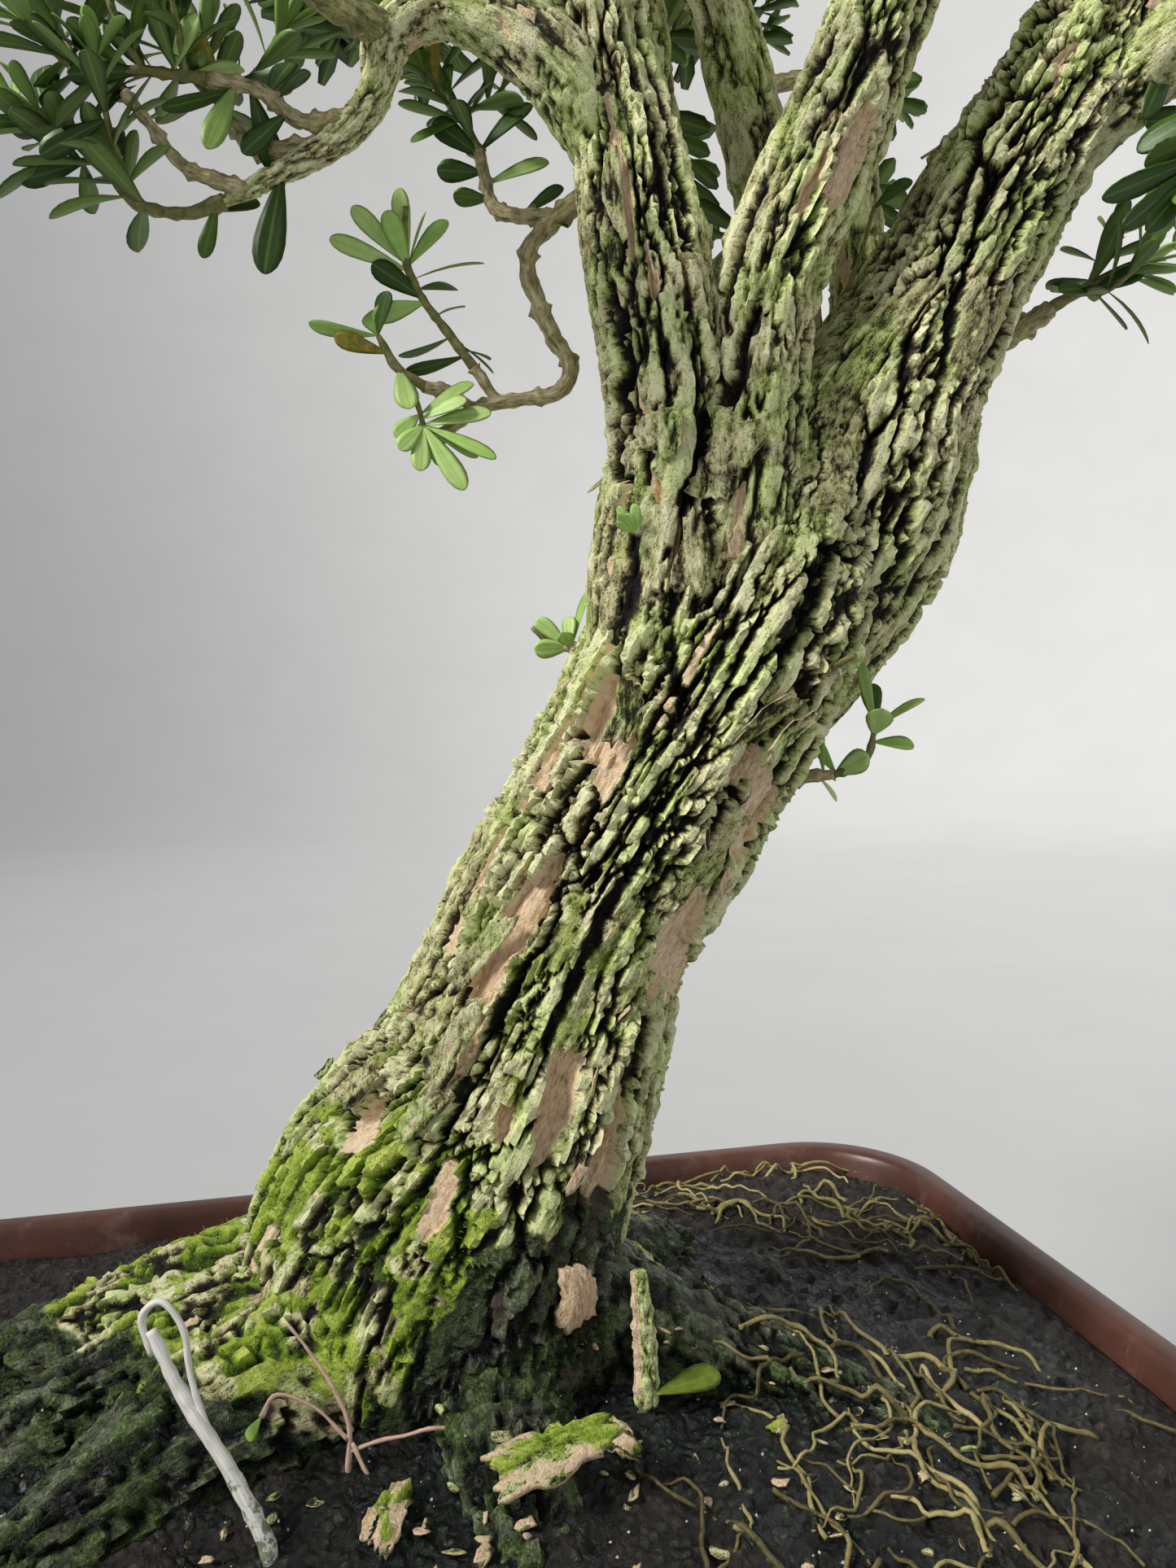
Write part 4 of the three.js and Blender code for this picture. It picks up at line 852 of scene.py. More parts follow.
RIGHT_FRONT_LIMB = [
    [160, -26, 450, 11], [196, -44, 486, 11], [232, -60, 520, 8], [268, -74, 548, 1.8],
]
BACK_LIMB = [
    [104, 0, 408, 9], [100, 6, 440, 9.5], [94, 9, 470, 9.5], [82, 12, 512, 8.5],
    [66, 32, 562, 6.5], [38, 62, 612, 1.8],
]
REAR_LIMB = [
    [124, 0, 396, 9], [130, 12, 428, 9], [131, 20, 470, 8.5], [142, 44, 520, 7.5],
    [156, 66, 570, 6], [166, 86, 622, 1.8],
]
THIN_FORM, THIN_PLATE = (2, 3, 0.3, 0.6), (5.5, 38, 2.3)
# name, rows, sides and rings of the skin, its form and its plates
LIMB_BARK = [
    ["left_column", LEFT_COLUMN, 120, 260, (2, 5, 0.9, 2.0), (7, 58, 4.2)],
    ["right_column", RIGHT_COLUMN, 180, 280, (2, 6, 0.8, 2.7), (7.5, 56, 5.2)],
    ["middle_limb", MIDDLE_LIMB, 90, 220, (2, 4, 0.8, 1.7), (6.5, 52, 3.5)],
    ["left_back_limb", LEFT_BACK_LIMB, 48, 100, THIN_FORM, THIN_PLATE],
    ["right_front_limb", RIGHT_FRONT_LIMB, 48, 90, THIN_FORM, THIN_PLATE],
    ["back_limb", BACK_LIMB, 48, 110, THIN_FORM, THIN_PLATE],
    ["rear_limb", REAR_LIMB, 48, 110, THIN_FORM, THIN_PLATE],
]
for index, (name, *shape) in enumerate(LIMB_BARK):
    skin = bark_skin(*shape, seed=2 + index, fades=(5, 3))
    bark_piece(name + "_bark", *skin)

# ------------------------------------------------------------------------------
# Roots
# Seven thick roots run out from the flare and sink into the soil. Their bark is lower and flakier,
# grown over with moss, and black with water where it meets the ground.
ROOTS = [
    [[-8, -2, 128, 38], [-40, 10, 130, 28], [-68, 19, 127, 22], [-98, 27, 117, 17],
     [-130, 34, 106, 13], [-166, 36, 90, 7]],
    [[-12, -2, 126, 38], [-50, -2, 127, 25], [-84, -4, 117, 20], [-118, -8, 104, 14],
     [-148, -10, 90, 8]],
    [[-12, -8, 124, 36], [-50, -24, 122, 25], [-82, -40, 112, 19], [-112, -54, 100, 13],
     [-140, -66, 88, 7]],
    [[4, -10, 124, 36], [4, -48, 113, 20], [6, -78, 103, 14], [8, -104, 93, 8]],
    [[12, -2, 126, 36], [50, -18, 118, 24], [86, -34, 107, 17], [118, -50, 97, 11],
     [144, -62, 87, 7]],
    [[10, 12, 126, 34], [46, 32, 120, 18], [78, 52, 108, 12], [106, 70, 95, 8]],
    [[-10, 16, 126, 32], [-38, 46, 118, 19], [-62, 72, 105, 12], [-80, 92, 92, 8]],
]
ROOT_SHAPE = {"sides": 76, "count": 84, "form": (2, 3, 0.6, 1.7), "plate": (6, 20, 3.6)}
for index, rows in enumerate(ROOTS):
    skin = bark_skin(rows, **ROOT_SHAPE, seed=20 + index, span=(0.1, 1), fades=(9, 6))
    bark_piece(f"root_bark_{index + 1}", *skin)

# ------------------------------------------------------------------------------
# Low branch and twigs
# One branch arches out to the left and down, a thin twig hangs and hooks back up beside it, and
# bare twigs carry the low shoots. Their bark is thin and tan-grey, with swollen joints where
# leaves sat.
LEFT_BRANCH = [
    [44, -14, 452, 11], [27, -17, 471, 10.5], [12, -14, 482, 9.5], [-3, -9, 487, 8],
    [-16, -5, 480, 6.5], [-20, -4, 466, 5], [-27, -2, 456, 4.6], [-44, 2, 445, 3.4],
    [-60, 6, 437, 1.6],
]
HANGING_TWIG = [
    [46, -6, 448, 4], [31, 4, 441, 2.7], [23, 5, 430, 2.4], [28, 4, 412, 2.4], [35, 3, 399, 2.3],
    [32, 3, 392.5, 2.2], [21, 6, 390, 2.1], [10, 9, 388, 2], [-2, 9, 379, 1.8],
]
TWIGS = {
    "left_upper": [[-26, -3, 458, 3], [-40, 0, 458, 2], [-50, 0, 464, 1.9], [-63, 1, 466, 1.8]],
    "left_middle": [[-32, -1, 452, 3], [-51, 9, 453, 2.2], [-58, 15, 462, 1.9]],
    "left_stub": [[-54, 4, 440, 2.4], [-70, 5, 445, 1.7], [-78, 3, 454, 1.5], [-84, 3, 461, 1.3]],
    "behind_left": [[31, 3, 441, 2.2], [16, 16, 447, 1.9], [12, 22, 465, 1.7]],
    "hanging_upright": [[16, 7.5, 389, 1.2], [12, 8.5, 394, 1.6], [8, 8.7, 399, 1.5]],
    "hanging_left": [[9, 9, 387.5, 1.2], [0, 10, 392, 1.8], [-6, 10, 393, 1.7]],
    "right_small": [[140, -14, 404, 5], [164, -15, 412, 3.6], [178, -17, 421, 2.8]],
    "right_top": [[196, -46, 486, 5], [203, -62, 475, 2.2], [202, -63, 468, 1.8]],
    "trunk_left": [[50, -4, 320, 2.4], [32, 2.5, 319, 1.3]],
    "trunk_right_upper": [[88, -22, 310, 2.6], [95, -46, 312, 1.3]],
    "trunk_right_lower": [[84, -16, 280, 2.6], [103, -31, 283, 1.6]],
}


def twig_skin(rows, sides, step, seed, joint, swell, crook=0.35):
    """The skin of a thin stem: its radius swells like a bell at every joint, most where the two
    leaf scars sit, and wanders with noise, and its middle sways. Gives points, faces, marks."""
    reach = np.linalg.norm(np.diff(np.array(rows, float)[:, :3], axis=0), axis=1).sum()
    count = max(int(reach / step) + 2, 4)
    share, middle, radius, travelled, _, across, beyond = path_along(rows, count)
    angle = turns(sides)[None, :]
    along = travelled[:, None] + 0 * angle
    straight = barrel(radius, angle, along)
    passed = along / joint + 0.13 * seed
    scars = 0.3 + 1.2 * np.cos(angle - 0.5 * math.pi * np.floor(passed)) ** 6
    knobs = np.exp(-(((passed % 1 - 0.5) * joint / 0.9) ** 2)) * scars
    skin = radius * (1 + swell * knobs + 0.2 * rough(straight, 2.4, seed))
    skin = skin + 0.1 * rough(straight, 0.9, seed + 1)
    free = np.minimum(1, 6 * np.minimum(share, 1 - share))[:, None]
    sway = np.stack([rough(middle + 91 * k, 7, seed + k) for k in range(3)], -1) * crook * free
    rings = (middle + sway)[:, None] + way_round(across, beyond, angle) * skin[..., None]
    marks = {
        "joint": np.append(knobs, [0, 0]),
        "grain": np.concatenate([straight.reshape(-1, 3), straight[[0, -1], 0]]) / 1000,
        "thick": with_ends(radius + 0 * angle),
    }
    return with_ends(rings), stem_faces(count, sides), marks


def joined(parts):
    """Several parts as one: their points in a row, and their faces counted on from each other."""
    points, faces, marks, first = [], [], {}, 0
    for part_points, part_faces, part_marks in parts:
        points.append(part_points)
        faces += [group + first for group in part_faces]
        for mark, values in part_marks.items():
            marks.setdefault(mark, []).append(values)
        first += len(part_points)
    marks = {mark: np.concatenate(values) for mark, values in marks.items()}
    return np.concatenate(points), faces, marks


def fit_parts(name, parts, finish, slot, *nodes):
    """Joins parts into one piece and fits it."""
    points, faces, marks = joined(parts)
    fit(new_piece(name, points, faces, finish, marks), slot, *nodes)


def twig_bark(wire):
    """Thin tan-grey bark: pale and smooth on the youngest stretches, cracked and greener with
    lichen on the thick ones, tan over the leaf scars at the joints."""
    grain = wire.mark("grain", 1)
    joint, thick = wire.marks("joint", "thick")
    fibre, flecks = grain.grain(1100, 4, (1, 1, 0.25), 0.65), grain.grain(420, 5, (1, 1, 0.6), 0.7)
    young = (fibre * 0.6 + flecks * 0.4).ramp(
        (0.34, 70, 64, 42), (0.46, 158, 146, 106), (0.62, 220, 210, 166)
    )
    aged = (fibre * 0.45 + flecks * 0.55).ramp(
        (0.34, 44, 42, 24), (0.46, 126, 124, 78), (0.6, 194, 194, 136)
    )
    colour = (thick + (flecks - 0.5) * 2.5).between(2.4, 4.4).mix(young, aged)
    scar = (joint * 0.35 + (flecks - 0.5) * 0.4).between(0.15, 0.5)
    return {
        "Base Color": scar.mix(colour, tone(170, 150, 116)),
        "Roughness": 0.8 + (flecks - 0.5) * 0.2,
        "Normal": (fibre * 0.6 + flecks * 0.5).bump(1.0, 0.0008),
    }


twig_finish = new_finish("thin_twig_bark", twig_bark)
shape = {"sides": 44, "count": 150, "form": (2, 3, 0.3, 0.5), "plate": (4, 15, 1.1)}
skin = bark_skin(LEFT_BRANCH, **shape, seed=40, fades=(8, 8))
bark_piece("left_branch_bark", *skin)
parts = [twig_skin(HANGING_TWIG, sides=12, step=0.9, seed=3, joint=8, swell=0.4)]
parts += [
    twig_skin(rows, sides=11, step=0.9, seed=5 + k, joint=5.5, swell=0.45)
    for k, rows in enumerate(TWIGS.values())
]
fit_parts("low_twigs", parts, twig_finish, "bark", "trunk_and_branches")

# ------------------------------------------------------------------------------
# Crown branches
# Fifteen branches run from the limbs to the surface of a low dome. Each starts at the nearest wood
# that lies lower than its tip, bows out and down like a grown branch, and thins to a twig.
CROWN_CENTRE, CROWN_REACH = np.array([66, -4, 552.0]), np.array([214, 146, 124.0])
CROWN_TIPS, CROWN_DEEPEST, INNER_TIPS = 15, -0.42, 0.72
LOWEST_BRANCH, THINNEST_WOOD, TIP_RADIUS = 452, 3, 1.7
BELOW_TIP, COST_OF_HEIGHT = 18, 1.6
LIMBS = [
    LEFT_COLUMN, LEFT_BACK_LIMB, RIGHT_COLUMN, RIGHT_FRONT_LIMB, MIDDLE_LIMB, BACK_LIMB, REAR_LIMB,
]


def crown_tips():
    """Points on a dome, each a golden angle further round and one step lower; every third lies
    further in."""
    index = np.arange(CROWN_TIPS)
    height = 1 - (index + 0.5) / CROWN_TIPS * (1 - CROWN_DEEPEST)
    turn = index * math.pi * (3 - math.sqrt(5))
    dome = barrel(np.sqrt(1 - height**2), turn, height)
    return CROWN_CENTRE + CROWN_REACH * dome * np.where(index % 3 == 2, INNER_TIPS, 1)[:, None]


def crown_branches():
    """A branch as rows to each tip, the tips nearest to wood first. Wood that isn't well below
    the tip counts as further away, and later branches may start on earlier ones."""
    wood = np.array([row for rows in [*LIMBS, LEFT_BRANCH] for row in rows], float)
    wood = wood[(wood[:, 2] > LOWEST_BRANCH) & (wood[:, 3] > THINNEST_WOOD)]
    tips = crown_tips()
    nearest = np.linalg.norm(tips[:, None] - wood[None, :, :3], axis=2).min(1)
    branches = []
    for tip in tips[np.argsort(nearest, kind="stable")]:
        too_high = np.maximum(0, wood[:, 2] - tip[2] + BELOW_TIP)
        far = np.linalg.norm(wood[:, :3] - tip, axis=1) + COST_OF_HEIGHT * too_high
        start = wood[np.argmin(far)]
        across = tip - start[:3]
        length = np.linalg.norm(across)
        away = across * [1, 1, 0] / np.linalg.norm(across[:2])
        base = min(0.8 * start[3], 2.4 + 0.018 * length)
        share = np.array([0, 0.3, 0.62, 1])[:, None]
        bow = 0.1 * length * np.sin(math.pi * share)
        place = start[:3] + across * share + (away - UPRIGHT) * bow
        branch = np.concatenate([place, base + (TIP_RADIUS - base) * share], 1)
        wood = np.concatenate([wood, branch[1:3]])
        branches.append(branch.tolist())
    return branches


BRANCHES = crown_branches()
parts = [
    twig_skin(rows, sides=13, step=2.4, seed=60 + k, joint=12, swell=0.25, crook=1.0)
    for k, rows in enumerate(BRANCHES)
]
fit_parts("crown_branches", parts, twig_finish, "bark", "trunk_and_branches")

# ------------------------------------------------------------------------------
# Low leafy shoots
# Shoots on the low twigs and out of the old bark. Small spoon-shaped leaves stand on them in pairs,
# every pair turned a quarter from the last. Leathery and glossy, dark when old, bright when young.
LEAF_LENGTH, LEAF_WIDTH, LEAF_THICK = 22, 6.9, 0.36


def leaf_shape(stations, across_count):
    """One leaf of length 1 and half width 1: its half width grows quickly from a narrow foot, is
    largest past the middle and closes in a round tip; the halves fold up from the midrib, and
    the whole bends down towards the tip. A ring at each station runs over the top and back."""
    along = np.array(stations)[:, None]
    top = np.linspace(1, -1, across_count)
    ring = np.concatenate([top, top[::-1][1:-1]])[None, :]
    under = np.concatenate([np.zeros(across_count), np.ones(across_count - 2)])[None, :]
    half = 1.5 * (along**0.85) * (1 - along**4.5) ** 0.62 + 0.05
    sign = np.where(under > 0, -1, 1) * np.sqrt(np.clip(1 - ring**2, 0, 1))
    shape = {
        "x": along + 0 * ring,
        "y": half * ring,
        "fold": half * (0.3 * np.abs(ring) - 0.1 * ring**2),
        "thick": sign * np.minimum(1, 0.4 + half),
        "bend": -(along**2) + 0 * ring,
    }
    marks = {"across": ring + 0 * along, "along": along + 0 * ring, "under": under + 0 * along}
    return shape, marks, drum_faces(len(stations), ring.size)


FINE_LEAF = leaf_shape([0, 0.09, 0.3, 0.52, 0.7, 0.83, 0.92, 0.97, 0.996], 5)
REAR_LEAF = leaf_shape([0, 0.28, 0.6, 0.86, 0.99], 3)
SMALL_LEAF = leaf_shape([0, 0.28, 0.68, 0.97], 3)


def many(faces, count, corners):
    """The faces of count equal solids with that many corners each."""
    first = np.arange(count)[:, None, None] * corners
    return (first + np.array(faces)).reshape(-1, len(faces[0]))


def leaves(places, shape):
    """A leaf at each place. places holds one row a leaf: foot, direction, way that its face looks,
    length, width, bend, age and chance; its axes are built from the direction and the face."""
    form, form_marks, form_faces = shape
    foot, ahead, face = places[:, 0:3], unit(places[:, 3:6]), places[:, 6:9]
    length, width, bend, age, chance = (places[:, k, None] for k in range(9, 14))
    up = face - ahead * (face * ahead).sum(1)[:, None]
    up = up / np.maximum(np.linalg.norm(up, axis=1), 1e-6)[:, None]
    side = np.cross(up, ahead)
    flat = {key: value.ravel()[None, :] for key, value in form.items()}
    x, y = flat["x"] * length, flat["y"] * width / 2
    z = flat["fold"] * width / 2 + flat["thick"] * LEAF_THICK / 2 + flat["bend"] * bend * length
    points = foot[:, None] + ahead[:, None] * x[..., None] + side[:, None] * y[..., None]
    points = points + up[:, None] * z[..., None]
    count = flat["x"].size
    faces = [many(group, len(places), count) for group in form_faces]
    marks = {key: np.tile(value.ravel(), len(places)) for key, value in form_marks.items()}
    marks |= {"age": np.repeat(age, count), "chance": np.repeat(chance, count)}
    marks["stem"] = np.zeros(len(places) * count)
    return points.reshape(-1, 3), faces, marks


def leaf_pairs(rows, rng, first, step, length, age):
    """Where the leaves of one stem stand: pairs at equal steps up the stem, each turned a quarter
    from the last and leaning out less towards the tip, where the leaves are smaller and closer."""
    chain = smooth_chain(rows, 12)[:, :3]
    travelled = run_along(chain)
    total = travelled[-1]
    at = np.append(np.arange(first, total - 1.5, step), total - np.array([1.2, 0.5, 0.1]))
    pair = np.repeat(np.arange(len(at)), 2)
    where = at[pair]
    foot, beyond, behind = (place_at(where + past, travelled, chain) for past in (0, 1, -1))
    along = unit(beyond - behind)
    side = unit(np.cross(UPRIGHT, along) + [1e-4, 0, 0])
    near_tip = np.clip(where / total, 0, 1) ** 1.5
    turn = (pair % 2) * math.pi / 2 + np.tile([0, math.pi], len(at))
    turn = (turn + rng.normal(0, 0.22, len(pair)) + 0.3)[:, None]
    out = side * np.cos(turn) + np.cross(along, side) * np.sin(turn)
    tilt = (1.15 - 0.65 * near_tip + rng.normal(0, 0.12, len(pair)))[:, None]
    ahead = along * np.cos(tilt) + out * np.sin(tilt)
    face = 0.75 * along + [0, 0, 0.6] + rng.normal(0, 0.14, (len(pair), 3))
    size = length * rng.uniform(0.82, 1.1, len(pair)) * (1 - 0.38 * near_tip**3)
    width = size * LEAF_WIDTH / LEAF_LENGTH * rng.uniform(0.9, 1.12, len(pair))
    bend = rng.uniform(0.0, 0.26, len(pair))
    age = np.clip(age - 0.45 * near_tip**3 + rng.normal(0, 0.08, len(pair)), 0, 1)
    chance = rng.uniform(0, 1, len(pair))
    return np.column_stack([foot, ahead, face, size, width, bend, age, chance])


def leafed(stems, rng, first, later, step, length, age):
    """The leaves of a main stem, whose first pair stands at first, and of stems that leave it,
    whose first pairs stand at later."""
    starts = [first] + [later] * (len(stems) - 1)
    return [leaf_pairs(rows, rng, at, step, length, age) for rows, at in zip(stems, starts)]


def shoot_stems(stems, sides, step, seed):
    """The stems of a shoot as parts, slightly swollen where each pair of leaves stands."""
    parts = []
    for k, rows in enumerate(stems):
        points, faces, _ = twig_skin(rows, sides, step, seed + k, joint=5.5, swell=0.22, crook=0.25)
        flat = {"across": 0.6, "along": 0.5, "under": 0, "age": 0.6, "chance": 0.5, "stem": 1}
        marks = {mark: np.full(len(points), value, float) for mark, value in flat.items()}
        parts.append((points, faces, marks))
    return parts


def boxwood_leaf(wire):
    """Leathery leaf: dark glossy green above, paler below, bright yellow-green while young and
    paler still as painted light shining through them, with a lighter midrib and faint side veins; a
    few have gone yellow. Stems are green to tan."""
    across, along, under, age, chance, stem = wire.marks(
        "across", "along", "under", "age", "chance", "stem"
    )
    mottle = wire.place().grain(420, 4)
    off_rib = abs(across)
    rib = 1 - off_rib.between(0.05, 0.16)
    veins = ((along * 26 - off_rib * 5) % 1).between(0.0, 0.25) * 0.3
    tint = mottle * 0.35 + chance * 0.5 + 0.1
    old = tint.ramp((0.15, 24, 44, 12), (0.5, 48, 80, 20), (0.9, 100, 140, 42))
    # young leaves are yellow-green; this ramp is made paler still as painted light shining through
    # them
    young = tint.ramp((0.15, 104, 148, 52), (0.5, 156, 200, 96), (0.9, 208, 234, 156))
    green = age.between(0.3, 0.7).mix(young, old)
    green = (under * 0.55).mix(green, tone(122, 146, 84))
    green = (rib * (0.22 + 0.2 * under) + veins * 0.1).mix(green, tone(150, 176, 96))
    yellow = chance.between(0.982, 0.988) * age.between(0.5, 0.6)
    green = (yellow * 0.85).mix(green, mottle.ramp((0.35, 120, 104, 30), (0.65, 176, 158, 66)))
    green = (off_rib.between(0.9, 1.0) * 0.3 * (1 - under)).mix(green, tone(150, 170, 92))
    return {
        "Base Color": stem.mix(green, mottle.ramp((0.35, 96, 104, 52), (0.65, 148, 140, 92))),
        "Roughness": 0.42 + under * 0.2 + stem * 0.22 + (mottle - 0.5) * 0.15,
        "Normal": (mottle * 0.3 + rib * 0.4 + veins * 0.3).bump(0.35, 0.0003),
        "Specular IOR Level": 0.34,
    }


leaf_finish = new_finish("boxwood_leaf", boxwood_leaf)


def end_of(rows):
    """A place just before the end of a stem's curve, and the direction there."""
    chain = smooth_chain(rows)[:, :3]
    ahead = unit(chain[-1] - chain[-2])
    return chain[-1] - 0.5 * ahead, ahead


def place_on(rows, share):
    """The place at a share of a stem's length."""
    chain = smooth_chain(rows)[:, :3]
    travelled = run_along(chain)
    return place_at(share * travelled[-1], travelled, chain)


# name, the twig that it grows on, radius at its foot, main stem, side stems (share of the main stem
# where each starts, and its rows), and, where more leaves grow than the picture shows one by one,
# their length, age, distance of the first pair, and steps
LOW_SHOOTS = [
    ["left_branch_end", LEFT_BRANCH, 2.2,
     [[-69, 8, 434, 1.7], [-83, 12, 437, 1.6], [-90, 14, 445, 1.4], [-106, 12, 458, 1]],
     [(0.7, [[-101, 18, 449, 0.9], [-113, 20, 462, 0.7]]),
      (0.45, [[-88, 4, 452, 0.8], [-90, -2, 466, 0.6]])], 21, 0.8, 22, 5.5],
    ["left_branch_upper", TWIGS["left_upper"], 1.6,
     [[-78, 3, 467, 1.4], [-96, 5, 467, 1.2], [-108, 4, 476, 0.9]],
     [(0.34, [[-86, 0, 480, 0.9], [-88, -2, 494, 0.7]]),
      (0.62, [[-98, 12, 474, 0.8], [-102, 16, 484, 0.6]]),
      (0.12, [[-70, -4, 476, 0.8], [-72, -6, 488, 0.6]])], 21, 0.85, 8, 6],
    ["left_branch_middle", TWIGS["left_middle"], 1.5, [[-63, 20, 473, 1.3], [-65, 25, 488, 0.9]],
     [(0.42, [[-52, 24, 480, 0.9], [-44, 22, 492, 0.7]]),
      (0.3, [[-70, 14, 474, 0.8], [-76, 12, 486, 0.6]])], 20, 0.85, 6, 5.5],
    ["behind_left_column", TWIGS["behind_left"], 1.5,
     [[7, 25, 477, 1.3], [1, 29, 491, 1.1], [-3, 30, 503, 0.8]],
     [(0.32, [[18, 26, 484, 0.9], [24, 24, 496, 0.7]]),
      (0.2, [[4, 18, 474, 0.8], [-5, 15, 482, 0.6]]),
      (0.55, [[-4, 22, 494, 0.8], [-12, 20, 500, 0.6]])], 19, 0.9, 5, 5.5],
    ["hanging_upright", TWIGS["hanging_upright"], 1.4,
     [[1, 9, 408, 1.3], [-6, 10, 417, 1.2], [-11, 10, 428, 1.1], [-11, 9, 442, 0.8]], []],
    ["hanging_left", TWIGS["hanging_left"], 1.5, [[-13, 9, 397, 1.4], [-19, 9, 406, 0.9]],
     [(0.3, [[-9, 7, 388, 0.9], [-7, 5, 381, 0.7]])]],
    ["right_low_limb", TWIGS["right_small"], 1.9, [[190, -20, 428, 1.6], [204, -23, 432, 1]],
     [(0.48, [[198, -12, 438, 0.9], [206, -8, 448, 0.7]]),
      (0.3, [[190, -28, 424, 0.8], [196, -34, 430, 0.6]])], 19, 0.75, 8, 6],
    ["right_limb_drooping", TWIGS["right_top"], 1.6, [[198, -62, 456, 1.3], [192, -60, 443, 0.9]],
     [(0.35, [[204, -54, 456, 0.8], [206, -50, 446, 0.6]])], 25, 0.95, 3, 4],
    ["trunk_left", TWIGS["trunk_left"], 1, [[28, 4, 321, 0.9], [24, 5, 325, 0.6]], []],
    ["trunk_right_upper", TWIGS["trunk_right_upper"], 1, [[97, -54, 315, 0.7]], []],
    ["trunk_right_lower", TWIGS["trunk_right_lower"], 1.2,
     [[109, -36, 286, 1.1], [112, -38, 298, 0.7]], []],
]
